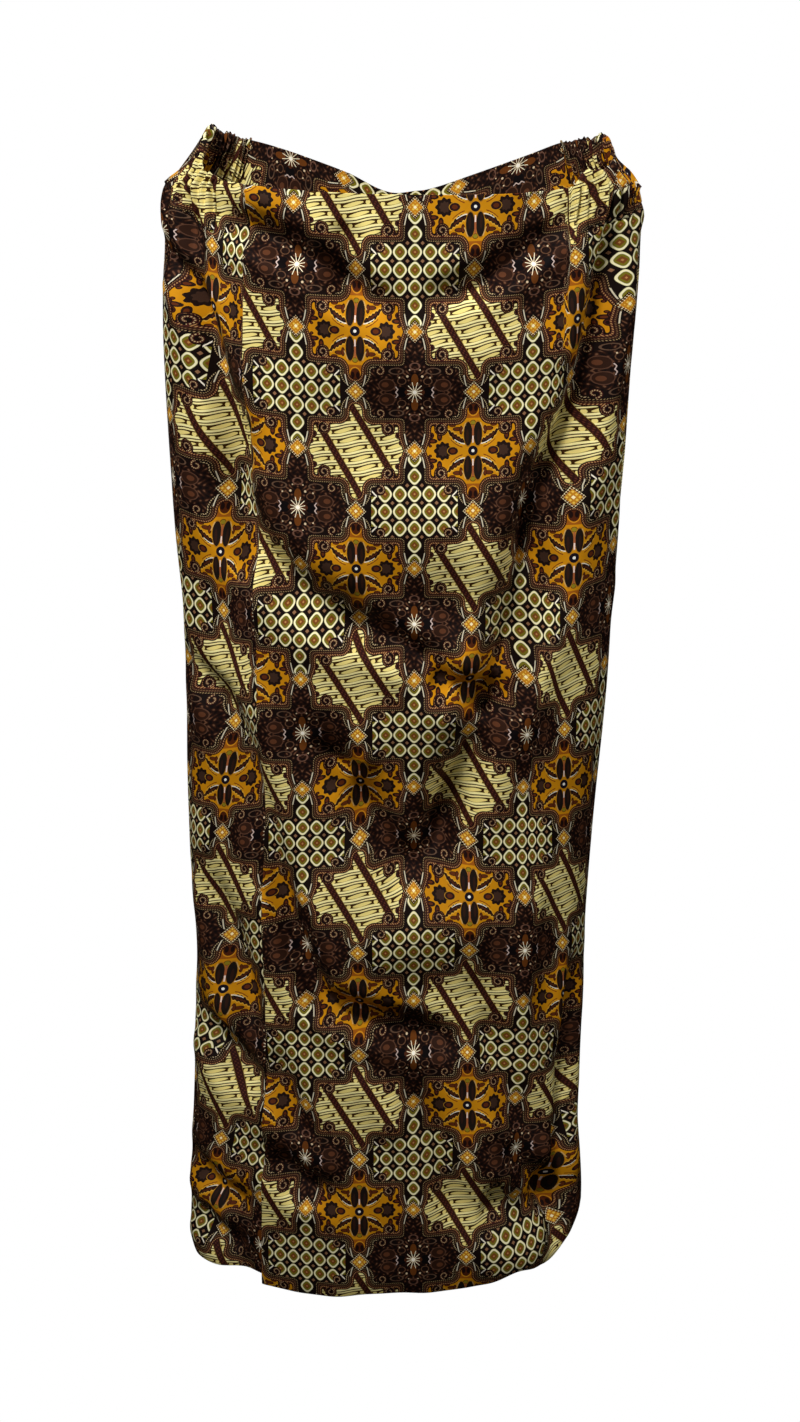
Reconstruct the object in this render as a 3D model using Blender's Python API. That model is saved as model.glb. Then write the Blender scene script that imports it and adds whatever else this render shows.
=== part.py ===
"""A long batik skirt, hung open and hollow, cut and sewn as its maker would make it.

The skirt is a tube. One function gives any point of its cloth from two numbers: the arc,
measured round the tube from the front centre line (positive towards +X), and the length,
measured down the cloth from the waist level. Every piece is a wall made between two runs of
those numbers. Left and right in the pieces' names are those of someone who looks at the
front, so "left" is at -X. Metres, +Z up, front facing -Y, origin in the middle of the waist.
"""

import math
from collections import namedtuple

import bpy
import numpy as np

# Cloth and making up
CLOTH_WALL = 0.002
CASING_WALL = 0.003
FACING_WALL = 0.0015
HEM_TURN_WALL = 0.0012
SEAM_GAP = 0.0003
LAYER_GAP = 0.0005
HEM_TURN = 0.018
BAND_HEIGHT = 0.045

# Cut of the pieces, as arcs round the tube and lengths down it
SKIRT_LENGTH = 0.990
UNDER_PANEL_LENGTH = 0.981
UNDER_PANEL_TOP_DROP = 0.002
FLAP_EDGE_ARC = -0.147
UNDER_PANEL_REACH = 0.090
FLAP_SETTLE = 0.050
DART_ANGLE = 34.6
DART_LENGTH = 0.165
DART_WIDTH = 0.004
DART_DEPTH = 0.0012
DART_FADE = 0.060

# Where the elastic starts and ends, as angles round the tube from the front centre line
LEFT_CASING = (-49.0, -136.0)
RIGHT_CASING = (37.5, 140.0)
SIDE_SEAM_ANGLE = 90.0

# Elastic gathers and the soft folds that they let go below the casing
GATHERS_PER_SIDE = 24
SAMPLES_PER_GATHER = 4
GATHER_DEPTH = 0.0015
GATHER_UNEVENNESS = 0.35
GATHER_BEATS = 3
RELEASE_FOLDS_PER_SIDE = 8
RELEASE_DEPTH = 0.0022
RELEASE_LENGTH = 0.110
RELEASE_ENDS = 0.10

# The elastic draws the raised sides in above the waist level
DRAW_START = 0.010
DRAW_HEIGHT = 0.049
DRAW_LEFT = 0.152
DRAW_RIGHT = 0.215
DRAW_POWER = 0.8
DRAW_LIMIT = 1.2

# Cross-section of the tube
CENTRE_LINE_X = 0.013
SECTION_POWER = 2.5
REFERENCE_LENGTH = 0.400
REFERENCE_STEPS = 7200
NORMAL_STEP_ANGLE = 0.15
NORMAL_STEP_LENGTH = 0.002

Ring = namedtuple("Ring", "length drop left right depth centre_y rise_left rise_right")
RINGS = (
    Ring(0.000, 0.000, 0.217, 0.191, 0.077, 0.000, 0.023, 0.029),
    Ring(0.100, 0.100, 0.224, 0.186, 0.071, -0.006, 0.030, 0.026),
    Ring(0.250, 0.250, 0.223, 0.180, 0.073, 0.000, 0.018, 0.019),
    Ring(0.400, 0.400, 0.216, 0.173, 0.082, 0.010, 0.003, 0.005),
    Ring(0.550, 0.550, 0.217, 0.161, 0.089, 0.018, -0.009, -0.008),
    Ring(0.700, 0.699, 0.213, 0.154, 0.092, 0.012, -0.012, -0.012),
    Ring(0.850, 0.847, 0.218, 0.150, 0.091, -0.009, -0.005, 0.006),
    Ring(0.990, 0.985, 0.223, 0.156, 0.087, -0.030, 0.008, 0.040),
)

# Height of the waist's edge at angles round the tube: flat in front, raised at the sides
# where it is held, and hanging in a soft V between them at the back
EdgePoint = namedtuple("EdgePoint", "angle height")
WAIST_EDGE = (
    EdgePoint(-180.0, 0.006),
    EdgePoint(-176.0, 0.004),
    EdgePoint(-167.0, 0.021),
    EdgePoint(-155.0, 0.036),
    EdgePoint(-144.0, 0.045),
    EdgePoint(-134.0, 0.050),
    EdgePoint(-110.0, 0.057),
    EdgePoint(-92.0, 0.060),
    EdgePoint(-80.0, 0.050),
    EdgePoint(-65.0, 0.028),
    EdgePoint(-53.0, 0.013),
    EdgePoint(-40.0, 0.009),
    EdgePoint(0.0, 0.002),
    EdgePoint(30.0, 0.006),
    EdgePoint(38.0, 0.008),
    EdgePoint(52.0, 0.015),
    EdgePoint(66.0, 0.030),
    EdgePoint(80.0, 0.045),
    EdgePoint(92.0, 0.051),
    EdgePoint(115.0, 0.050),
    EdgePoint(140.0, 0.047),
    EdgePoint(155.0, 0.036),
    EdgePoint(170.0, 0.020),
    EdgePoint(180.0, 0.006),
)

# The largest folds, each a trough from a head to a foot; a negative depth is a ridge
Fold = namedtuple("Fold", "head_arc head_length foot_arc foot_length width depth")
FOLDS = (
    Fold(0.090, 0.010, 0.042, 0.070, 0.016, 0.007),
    Fold(-0.066, 0.035, -0.070, 0.085, 0.015, 0.005),
    Fold(0.111, 0.160, 0.094, 0.240, 0.017, 0.009),
    Fold(0.094, 0.240, 0.070, 0.340, 0.017, 0.009),
    Fold(-0.208, 0.040, -0.160, 0.250, 0.016, 0.007),
    Fold(-0.050, 0.345, 0.060, 0.350, 0.028, 0.005),
    Fold(-0.176, 0.560, -0.172, 0.985, 0.022, 0.008),
    Fold(0.150, 0.800, 0.146, 0.985, 0.014, 0.007),
    Fold(0.020, 0.620, 0.035, 0.990, 0.034, 0.006),
    Fold(-0.085, 0.640, -0.070, 0.990, 0.030, -0.005),
    Fold(0.090, 0.640, 0.100, 0.990, 0.028, -0.005),
    Fold(0.300, 0.080, 0.330, 0.560, 0.024, 0.008),
    Fold(0.400, 0.060, 0.405, 0.330, 0.026, 0.007),
    Fold(0.480, 0.250, 0.470, 0.985, 0.030, 0.009),
    Fold(0.560, 0.050, 0.545, 0.470, 0.024, 0.008),
    Fold(0.350, 0.520, 0.365, 0.985, 0.026, 0.009),
    Fold(0.600, 0.420, 0.590, 0.985, 0.026, 0.008),
)
FOLD_TAPER = 0.35

# Grid of each wall: even columns, even rows down the waist's band, and then a ladder of
# lengths that every panel shares, so that layers lying on each other have the same facets
COLUMN_SPACING = 0.0140
OVERLAP_COLUMNS = 6
BAND_ROWS = 3
LADDER_ROWS = 15
LADDER_TOP = 0.075
LADDER_FOOT = 0.940
LADDER_CROWDING = 1.3
CASING_ROWS = 2
SMOOTHING_ANGLE = 50.0

BATIK_BROWN = (0.118, 0.055, 0.022)
BATIK_OCHRE = (0.190, 0.098, 0.028)
FACING_BROWN = (0.082, 0.034, 0.020)


def through(knots, values, at):
    """A smooth curve through a table: cubic Hermite pieces with averaged slopes."""
    knots = np.asarray(knots, float)
    values = np.asarray(values, float)
    at = np.clip(np.asarray(at, float), knots[0], knots[-1])
    slopes = np.diff(values) / np.diff(knots)
    tangents = np.concatenate(([slopes[0]], (slopes[:-1] + slopes[1:]) / 2, [slopes[-1]]))
    piece = np.clip(np.searchsorted(knots, at, side="right") - 1, 0, len(knots) - 2)
    span = knots[piece + 1] - knots[piece]
    u = (at - knots[piece]) / span
    near = (1 + 2 * u) * (1 - u) ** 2 * values[piece] + u * (1 - u) ** 2 * span * tangents[piece]
    far = u**2 * (3 - 2 * u) * values[piece + 1] + u**2 * (u - 1) * span * tangents[piece + 1]
    return near + far


def soft_step(value):
    """0 below 0, 1 above 1, and a smooth rise between."""
    value = np.clip(value, 0.0, 1.0)
    return value * value * (3.0 - 2.0 * value)


def ring(column, length):
    """One column of the table of rings at a length down the cloth."""
    return through([r.length for r in RINGS], [getattr(r, column) for r in RINGS], length)


def section(angle, length):
    """A point of the plain tube at an angle in degrees and a length down the cloth."""
    turn = np.radians(angle)
    sine, cosine = np.sin(turn), np.cos(turn)
    right = sine > 0
    half = np.where(right, ring("right", length), ring("left", length))
    rise = np.where(right, ring("rise_right", length), ring("rise_left", length)) * sine**2
    reach = np.sign(sine) * np.abs(sine) ** (2 / SECTION_POWER)
    back = np.sign(cosine) * np.abs(cosine) ** (2 / SECTION_POWER)
    z = rise - ring("drop", length) + np.maximum(-length, 0.0)
    drawn = np.clip((z - DRAW_START) / DRAW_HEIGHT, 0.0, DRAW_LIMIT) ** DRAW_POWER
    share = np.where(right, DRAW_RIGHT, DRAW_LEFT) * drawn * sine**2
    x = CENTRE_LINE_X + half * reach * (1 - share)
    y = ring("centre_y", length) - ring("depth", length) * back
    return np.stack(np.broadcast_arrays(x, y, z), axis=-1)


# Arcs are measured on one reference ring, once, and read back as angles
ANGLE_TABLE = np.linspace(-180.0, 180.0, REFERENCE_STEPS + 1)
REFERENCE_RING = section(ANGLE_TABLE, np.full_like(ANGLE_TABLE, REFERENCE_LENGTH))
ARC_TABLE = np.concatenate(
    ([0.0], np.cumsum(np.linalg.norm(np.diff(REFERENCE_RING, axis=0), axis=1)))
)
ARC_TABLE -= ARC_TABLE[len(ARC_TABLE) // 2]
TUBE_GIRTH = ARC_TABLE[-1] - ARC_TABLE[0]


def angle_at(arc):
    """The angle round the tube at an arc, which may run past the back centre."""
    arc = np.asarray(arc, float)
    whole = np.floor((arc - ARC_TABLE[0]) / TUBE_GIRTH)
    return np.interp(arc - whole * TUBE_GIRTH, ARC_TABLE, ANGLE_TABLE) + 360.0 * whole


def arc_at(angle):
    """The arc of an angle, one turn at most past the back centre."""
    angle = np.asarray(angle, float)
    whole = np.floor((angle + 180.0) / 360.0)
    return np.interp(angle - 360.0 * whole, ANGLE_TABLE, ARC_TABLE) + TUBE_GIRTH * whole


def wrapped(angle):
    """An angle brought back between -180 and 180."""
    return (np.asarray(angle, float) + 180.0) % 360.0 - 180.0


def waist_length(arc):
    """The length at which the waist's edge lies, negative where the side is raised."""
    angle = wrapped(angle_at(arc))
    height = through([p.angle for p in WAIST_EDGE], [p.height for p in WAIST_EDGE], angle)
    sine = np.sin(np.radians(angle))
    rise = np.where(sine > 0, RINGS[0].rise_right, RINGS[0].rise_left) * sine**2
    return rise - height


def fold_depth(arc, length):
    """How far the folds push the cloth in: a bell across each trough, tapered at its ends."""
    depth = np.zeros(np.broadcast(arc, length).shape)
    for fold in FOLDS:
        run = np.array([fold.foot_arc - fold.head_arc, fold.foot_length - fold.head_length])
        size = np.linalg.norm(run)
        run = run / size
        for turn in (-TUBE_GIRTH, 0.0, TUBE_GIRTH):
            over = arc + turn - fold.head_arc
            down = length - fold.head_length
            along = (over * run[0] + down * run[1]) / size
            across = over * run[1] - down * run[0]
            taper = soft_step((along + FOLD_TAPER) / FOLD_TAPER)
            taper = taper * soft_step((1 + FOLD_TAPER - along) / FOLD_TAPER)
            depth += fold.depth * taper * np.exp(-((across / fold.width) ** 2))
    return depth


def casing_share(arc, casing):
    """Where an arc lies in a casing, from 0 at its front end to 1 at its back end."""
    front, back = arc_at(casing[0]), arc_at(casing[1])
    middle = (front + back) / 2
    near = middle + (np.asarray(arc) - middle + TUBE_GIRTH / 2) % TUBE_GIRTH - TUBE_GIRTH / 2
    return (near - front) / (back - front)


def release_depth(arc, length):
    """Soft folds let go by the gathers, dying out down the cloth and at the casing's ends."""
    below = (length - waist_length(arc) - BAND_HEIGHT) / RELEASE_LENGTH
    fade = 1.0 - soft_step(below)
    total = np.zeros(np.broadcast(arc, length).shape)
    for casing in (LEFT_CASING, RIGHT_CASING):
        share = casing_share(arc, casing)
        inside = soft_step(share / RELEASE_ENDS) * soft_step((1 - share) / RELEASE_ENDS)
        wave = 0.5 - 0.5 * np.cos(2 * math.pi * RELEASE_FOLDS_PER_SIDE * share)
        total += RELEASE_DEPTH * wave * inside * fade
    return total


def draped(arc, length):
    """The tube with its folds, and the outward normal of its plain form."""
    angle = angle_at(arc)
    place = section(angle, length)
    before, after = angle - NORMAL_STEP_ANGLE, angle + NORMAL_STEP_ANGLE
    above, below = length - NORMAL_STEP_LENGTH, length + NORMAL_STEP_LENGTH
    round_it = section(after, length) - section(before, length)
    down_it = section(angle, below) - section(angle, above)
    normal = np.cross(down_it, round_it)
    normal /= np.linalg.norm(normal, axis=-1, keepdims=True)
    depth = fold_depth(arc, length) + release_depth(arc, length)
    return place - normal * depth[..., None], normal


def flap_lift(arc):
    """How far the overlap stands off the tube so that it lies on the panel under it."""
    edge_of_under = FLAP_EDGE_ARC + UNDER_PANEL_REACH
    settle = soft_step((arc - edge_of_under - SEAM_GAP * 4) / FLAP_SETTLE)
    return (CLOTH_WALL + LAYER_GAP) * (1 - settle)


def dart_dip(arc, length):
    """The sewn dart: a narrow groove in the outer face that fades at its point."""
    near = 1.0 - np.clip(np.abs(arc - arc_at(DART_ANGLE)) / DART_WIDTH, 0.0, 1.0)
    return DART_DEPTH * near * soft_step((DART_LENGTH - length) / DART_FADE)


def band_lengths(top):
    """Lengths of the rows down the waist's band."""
    return top[:, None] + BAND_HEIGHT * np.linspace(0.0, 1.0, BAND_ROWS + 1)[None, :]


def row_lengths(top, foot):
    """Lengths of a panel's rows: its band, the shared ladder, and the hem with its turn."""
    share = (np.arange(LADDER_ROWS + 1) / LADDER_ROWS) ** LADDER_CROWDING
    ladder = LADDER_TOP + (LADDER_FOOT - LADDER_TOP) * share
    hem = (foot - HEM_TURN, foot - HEM_TURN + SEAM_GAP, foot)
    lower = np.concatenate([ladder, hem])
    return np.concatenate([band_lengths(top), np.broadcast_to(lower, (len(top), len(lower)))], axis=1)


def columns(start, end, spacing, extra=()):
    """Even arcs from start to end, with the extra ones that the cut needs."""
    count = max(2, round((end - start) / spacing))
    even = np.linspace(start, end, count + 1)[1:-1]
    kept = [arc for arc in even if all(abs(arc - other) > spacing / 4 for other in extra)]
    return np.array(sorted([start, *kept, *extra, end]))


def gather_arcs(casing, samples=1):
    """Arcs through a casing, in rising order, with this many steps in each gather."""
    ends = sorted((float(arc_at(casing[0])), float(arc_at(casing[1]))))
    return np.linspace(ends[0] + SEAM_GAP, ends[1] - SEAM_GAP, GATHERS_PER_SIDE * samples + 1)


def gathered_columns(casing, start, end):
    """A panel's arcs under a casing: those of the gathers between two ends."""
    turns = TUBE_GIRTH * round(((start + end) / 2 - gather_arcs(casing).mean()) / TUBE_GIRTH)
    arcs = gather_arcs(casing) + turns
    return np.array([start, *arcs[(arcs > start + SEAM_GAP * 3) & (arcs < end - SEAM_GAP * 3)], end])


def overlap_columns():
    """The arcs that the overlap and the panel under it share."""
    return np.linspace(FLAP_EDGE_ARC, FLAP_EDGE_ARC + UNDER_PANEL_REACH, OVERLAP_COLUMNS + 1)


def cell_triangles(grid, kept):
    """Two triangles for each kept cell of a grid, always cut along the same diagonal."""
    corners = (grid[:-1, :-1], grid[:-1, 1:], grid[1:, 1:], grid[1:, :-1])
    one, two, three, four = (corner[kept] for corner in corners)
    return np.concatenate([np.stack([one, two, three], axis=-1), np.stack([one, three, four], axis=-1)])


def open_edges(triangles, count):
    """The directed edges of triangles that no neighbour shares."""
    starts = triangles.ravel()
    ends = np.roll(triangles, -1, axis=1).ravel()
    alone = ~np.isin(starts * count + ends, ends * count + starts)
    return starts[alone], ends[alone]


def closed_wall(name, outer, inner, material, kept=None):
    """One closed wall between two grids of points, over the kept cells of the grid."""
    across, down = outer.shape[:2]
    count = across * down
    grid = np.arange(count).reshape(across, down)
    if kept is None:
        kept = np.ones((across - 1, down - 1), bool)
    front = cell_triangles(grid, kept)
    start, end = open_edges(front, count)
    sides = [
        np.stack([end, start, start + count], axis=-1),
        np.stack([end, start + count, end + count], axis=-1),
    ]
    faces = np.concatenate([front, front[:, ::-1] + count, *sides])
    used, faces = np.unique(faces, return_inverse=True)
    points = np.concatenate([outer.reshape(-1, 3), inner.reshape(-1, 3)])[used]
    mesh = bpy.data.meshes.new(name)
    mesh.from_pydata(points.tolist(), [], faces.reshape(-1, 3).tolist())
    mesh.validate()
    mesh.shade_smooth()
    mesh.set_sharp_from_angle(angle=math.radians(SMOOTHING_ANGLE))
    mesh.materials.append(material)
    piece = bpy.data.objects.new(name, mesh)
    bpy.context.scene.collection.objects.link(piece)
    return piece


def cloth(name, colour, roughness):
    """A plain cloth finish."""
    material = bpy.data.materials.new(name)
    material.use_nodes = True
    shader = material.node_tree.nodes["Principled BSDF"]
    shader.inputs["Base Color"].default_value = (*colour, 1.0)
    shader.inputs["Roughness"].default_value = roughness
    shader.inputs["Metallic"].default_value = 0.0
    return material


def panel(name, arcs, foot, lift, material, casings=(), top_drop=0.0):
    """A body panel down to its turned-up hem, cut away where a casing takes its band's place."""
    lengths = row_lengths(waist_length(arcs), foot)
    lengths[:, 0] += np.where(arcs > FLAP_EDGE_ARC - SEAM_GAP, top_drop, 0.0)
    kept = np.ones((len(arcs) - 1, lengths.shape[1] - 1), bool)
    for casing in casings:
        under = (casing_share(arcs, casing) > 0) & (casing_share(arcs, casing) < 1)
        lengths[under, BAND_ROWS] += LAYER_GAP
        kept[under[:-1] | under[1:], :BAND_ROWS] = False
    grid_arc = np.broadcast_to(arcs[:, None], lengths.shape)
    place, normal = draped(grid_arc, lengths)
    off = lift(grid_arc)[..., None]
    at_turn = (lengths[..., None] > foot - HEM_TURN + SEAM_GAP / 2) & (off == 0)
    turned = np.where(at_turn, HEM_TURN_WALL, 0.0)
    outer = place + normal * (off - dart_dip(grid_arc, lengths)[..., None])
    inner = place + normal * (off - CLOTH_WALL - turned)
    return closed_wall(name, outer, inner, material, kept)


def front_overlap_panel(material):
    """The front, from its free edge over the left panel round to the right side seam."""
    seam = arc_at(SIDE_SEAM_ANGLE) - SEAM_GAP / 2
    shared = overlap_columns()
    dart = arc_at(DART_ANGLE) + DART_WIDTH * np.array([-1.0, 0.0, 1.0])
    casing_end = arc_at(RIGHT_CASING[0]) - SEAM_GAP
    flat_part = columns(shared[-1], casing_end, COLUMN_SPACING, dart)
    gathered_part = gathered_columns(RIGHT_CASING, casing_end, seam)
    arcs = np.concatenate([shared[:-1], flat_part[:-1], gathered_part])
    return panel("front_overlap_panel", arcs, SKIRT_LENGTH, flap_lift, material, (RIGHT_CASING,))


def left_front_panel(material):
    """The left front, from the left side seam to its edge hidden under the overlap."""
    seam = arc_at(-SIDE_SEAM_ANGLE) + SEAM_GAP / 2
    casing_end = arc_at(LEFT_CASING[0]) + SEAM_GAP
    gathered_part = gathered_columns(LEFT_CASING, seam, casing_end)
    flat_part = columns(casing_end, FLAP_EDGE_ARC, COLUMN_SPACING)
    arcs = np.concatenate([gathered_part[:-1], flat_part[:-1], overlap_columns()])
    return panel(
        "left_front_panel",
        arcs,
        UNDER_PANEL_LENGTH,
        np.zeros_like,
        material,
        (LEFT_CASING,),
        UNDER_PANEL_TOP_DROP,
    )


def back_columns():
    """The back's arcs, and the two between which its waist is flat and faced."""
    start = arc_at(SIDE_SEAM_ANGLE) + SEAM_GAP / 2
    end = arc_at(360.0 - SIDE_SEAM_ANGLE) - SEAM_GAP / 2
    flat = (arc_at(RIGHT_CASING[1]) + SEAM_GAP, arc_at(360.0 + LEFT_CASING[1]) - SEAM_GAP)
    parts = (
        gathered_columns(RIGHT_CASING, start, flat[0])[:-1],
        columns(flat[0], flat[1], COLUMN_SPACING)[:-1],
        gathered_columns(LEFT_CASING, flat[1], end),
    )
    return np.concatenate(parts), flat


def back_panel(material):
    """The back, from the right side seam round to the left one."""
    arcs, _ = back_columns()
    casings = (RIGHT_CASING, LEFT_CASING)
    return panel("back_panel", arcs, SKIRT_LENGTH, np.zeros_like, material, casings)


def back_waist_facing(material):
    """The flat band sewn inside the back of the waist, between the two casings."""
    arcs, flat = back_columns()
    arcs = arcs[(arcs >= flat[0]) & (arcs <= flat[1])]
    lengths = band_lengths(waist_length(arcs))
    grid_arc = np.broadcast_to(arcs[:, None], lengths.shape)
    place, normal = draped(grid_arc, lengths)
    outer = place - normal * (CLOTH_WALL + SEAM_GAP)
    return closed_wall("back_waist_facing", outer, outer - normal * FACING_WALL, material)


def elastic_casing(name, casing, material):
    """A gathered elastic casing: a thick wall whose faces wave in step round the side."""
    arcs = gather_arcs(casing, SAMPLES_PER_GATHER)
    share = np.linspace(0.0, 1.0, CASING_ROWS + 1)
    lengths = waist_length(arcs)[:, None] + BAND_HEIGHT * share[None, :]
    place, normal = draped(np.broadcast_to(arcs[:, None], lengths.shape), lengths)
    seam = place[::SAMPLES_PER_GATHER, -1]
    step = np.arange(len(arcs)) / SAMPLES_PER_GATHER
    for axis in range(3):
        place[:, -1, axis] = np.interp(step, np.arange(len(seam)), seam[:, axis])
    turn = 2 * math.pi * GATHERS_PER_SIDE * casing_share(arcs, casing)
    beat = GATHER_UNEVENNESS * np.sin(turn * GATHER_BEATS / GATHERS_PER_SIDE)
    wave = GATHER_DEPTH * np.sin(turn + beat)
    outer = place + normal * (wave[:, None, None] + (CASING_WALL - CLOTH_WALL) / 2)
    return closed_wall(name, outer, outer - normal * CASING_WALL, material)


def main():
    for old in list(bpy.data.objects):
        bpy.data.objects.remove(old, do_unlink=True)
    brown = cloth("batik_cloth_brown", BATIK_BROWN, 0.5)
    ochre = cloth("batik_cloth_ochre", BATIK_OCHRE, 0.5)
    facing = cloth("batik_facing_cloth", FACING_BROWN, 0.55)
    front_overlap_panel(ochre)
    left_front_panel(brown)
    back_panel(brown.copy())
    back_waist_facing(facing)
    elastic_casing("left_elastic_casing", LEFT_CASING, facing.copy())
    elastic_casing("right_elastic_casing", RIGHT_CASING, facing.copy())


main()
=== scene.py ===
"""The looks of a long batik tube skirt: thin cloth shells, gathers, seams, print and studio.

Every sheet of the skirt is read from one tube of cloth. A place on it has two numbers: the
arc, measured round the tube from the front centre line, and the length, measured down the
cloth from the waist level. Left and right are those of someone who looks at the front.
Metres, +Z up, front facing -Y; the print is drawn in millimetres of flat cloth.
"""

import logging
import math
from dataclasses import dataclass, field
from enum import Enum
from functools import cached_property

import bpy
import numpy as np
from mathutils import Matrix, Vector


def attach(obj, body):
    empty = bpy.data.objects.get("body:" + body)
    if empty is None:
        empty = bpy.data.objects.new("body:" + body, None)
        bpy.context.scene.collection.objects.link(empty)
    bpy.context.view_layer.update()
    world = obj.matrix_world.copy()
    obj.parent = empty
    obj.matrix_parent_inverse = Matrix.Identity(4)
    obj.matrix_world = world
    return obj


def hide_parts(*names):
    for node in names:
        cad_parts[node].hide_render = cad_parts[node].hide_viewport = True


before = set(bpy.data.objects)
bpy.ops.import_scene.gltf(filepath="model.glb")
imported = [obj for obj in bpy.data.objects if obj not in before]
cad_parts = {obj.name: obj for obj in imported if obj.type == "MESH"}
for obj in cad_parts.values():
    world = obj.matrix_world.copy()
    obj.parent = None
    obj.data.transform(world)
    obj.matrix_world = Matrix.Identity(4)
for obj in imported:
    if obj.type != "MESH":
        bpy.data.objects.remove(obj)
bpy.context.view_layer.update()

Array = np.ndarray
LOG = logging.getLogger("batik_skirt")
BODY = "root"
MM = 0.001

# How far the left front reaches under the overlap, and how much is turned up at the hems
OVERLAP_REACH = 0.090
HEM_TURN = 0.018

# The frame of the photograph, and its camera's focal length in the same pixels
IMAGE_WIDTH, IMAGE_HEIGHT = 800, 1422
FOCAL_PIXELS = 1900.0


def linear(colour: str) -> tuple[float, float, float, float]:
    """An sRGB hex colour as linear red, green, blue and alpha.

    Args:
        colour: A colour such as "#c9841c".

    Returns:
        Four numbers: each channel c is c / 12.92 up to 0.04045, and otherwise
        ((c + 0.055) / 1.055) to the power 2.4; alpha is 1.
    """
    channels = np.array([int(colour[i : i + 2], 16) for i in (1, 3, 5)]) / 255.0
    low, high = channels / 12.92, ((channels + 0.055) / 1.055) ** 2.4
    red, green, blue = np.where(channels <= 0.04045, low, high)
    return float(red), float(green), float(blue), 1.0


def soft_step(value: Array) -> Array:
    """0 below 0, 1 above 1, and 3 v squared less 2 v cubed between."""
    value = np.clip(value, 0.0, 1.0)
    return value * value * (3.0 - 2.0 * value)


def through(knots: Array, values: Array, at: Array) -> Array:
    """A smooth curve through a table: cubic Hermite pieces with averaged slopes.

    Args:
        knots: Where the table's values lie, in rising order.
        values: The table's values.
        at: Where the curve is read; it is level beyond the table's ends.

    Returns:
        The curve's values, in the shape of at.
    """
    knots, values = np.asarray(knots, float), np.asarray(values, float)
    at = np.clip(np.asarray(at, float), knots[0], knots[-1])
    slopes = np.diff(values) / np.diff(knots)
    tangents = np.concatenate(([slopes[0]], (slopes[:-1] + slopes[1:]) / 2, [slopes[-1]]))
    piece = np.clip(np.searchsorted(knots, at, side="right") - 1, 0, len(knots) - 2)
    span = knots[piece + 1] - knots[piece]
    u = (at - knots[piece]) / span
    near = (1 + 2 * u) * (1 - u) ** 2 * values[piece] + u * (1 - u) ** 2 * span * tangents[piece]
    far = u**2 * (3 - 2 * u) * values[piece + 1] + u**2 * (u - 1) * span * tangents[piece + 1]
    return near + far


class Side(Enum):
    """The two gathered sides of the waist, with the sign of their arcs."""

    LEFT = -1
    RIGHT = 1


@dataclass(frozen=True)
class Ring:
    """One ring of the tube, in metres.

    Attributes:
        length: Where it lies down the cloth.
        drop: How far its middle hangs below the waist level.
        left: Its reach to the left of the centre line, and likewise right.
        depth: Half its size from front to back.
        centre_y: How far back its middle lies.
        rise_left: How far its left side rises above its middle, and likewise right.
    """

    length: float
    drop: float
    left: float
    right: float
    depth: float
    centre_y: float
    rise_left: float
    rise_right: float


@dataclass(frozen=True)
class Casing:
    """Where one side's elastic runs, as angles round the tube from the front centre."""

    front_angle: float
    back_angle: float


@dataclass(frozen=True)
class Crease:
    """A soft trough in the cloth from a head to a foot; a negative depth is a ridge.

    Attributes:
        width: Distance from its line at which 1/e of its depth is left, in metres.
        taper: Share of its run over which it dies out past each end.
    """

    head_arc: float
    head_length: float
    foot_arc: float
    foot_length: float
    width: float
    depth: float
    taper: float = 0.35


@dataclass(frozen=True)
class Fold:
    """A trough with raised banks along a bent line; a negative depth is a ridge.

    Attributes:
        width: Half its width, in millimetres.
        depth: Its depth, in millimetres.
        line: Arcs and lengths of the line's corners, in millimetres.
    """

    width: float
    depth: float
    line: tuple[tuple[float, float], ...]


RINGS = (
    Ring(0.000, 0.000, 0.217, 0.191, 0.077, 0.000, 0.023, 0.029),
    Ring(0.100, 0.100, 0.224, 0.186, 0.071, -0.006, 0.030, 0.026),
    Ring(0.250, 0.250, 0.223, 0.180, 0.073, 0.000, 0.018, 0.019),
    Ring(0.400, 0.400, 0.216, 0.173, 0.082, 0.010, 0.003, 0.005),
    Ring(0.550, 0.550, 0.217, 0.161, 0.089, 0.018, -0.009, -0.008),
    Ring(0.700, 0.699, 0.213, 0.154, 0.092, 0.012, -0.012, -0.012),
    Ring(0.850, 0.847, 0.218, 0.150, 0.091, -0.009, -0.005, 0.006),
    Ring(0.990, 0.985, 0.223, 0.156, 0.087, -0.030, 0.008, 0.040),
    Ring(1.012, 1.0067, 0.2238, 0.1569, 0.0864, -0.0333, 0.0100, 0.0453),
)

# Height of the waist's edge at angles round the tube, from the back centre to the back centre
WAIST_EDGE = (
    (-180.0, 0.006), (-176.0, 0.004), (-167.0, 0.021), (-155.0, 0.036), (-144.0, 0.045),
    (-134.0, 0.050), (-110.0, 0.057), (-92.0, 0.060), (-80.0, 0.050), (-65.0, 0.028),
    (-53.0, 0.017), (-40.0, 0.011), (0.0, 0.002), (30.0, 0.006), (36.0, 0.009), (41.0, 0.018),
    (52.0, 0.023), (66.0, 0.030), (80.0, 0.045), (92.0, 0.051), (115.0, 0.050), (140.0, 0.047),
    (155.0, 0.036), (170.0, 0.020), (180.0, 0.006),
)

# How much lower the hem's line hangs than the panels' even feet, at arcs from the front centre
HEM_LINE = (
    (-0.300, 0.008), (-0.235, 0.020), (-0.195, 0.018), (-0.150, 0.014), (-0.085, 0.016),
    (-0.050, 0.012), (0.030, 0.013), (0.070, 0.009), (0.100, 0.002), (0.120, 0.008),
    (0.145, 0.018), (0.165, 0.009), (0.200, 0.004),
)

# Puckers along the hem: each one's share, metres for each radian, and start in radians
HEM_WAVES = ((0.55, 0.0061, 1.0), (0.50, 0.0113, 0.0), (0.70, 0.0187, 2.0))

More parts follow.
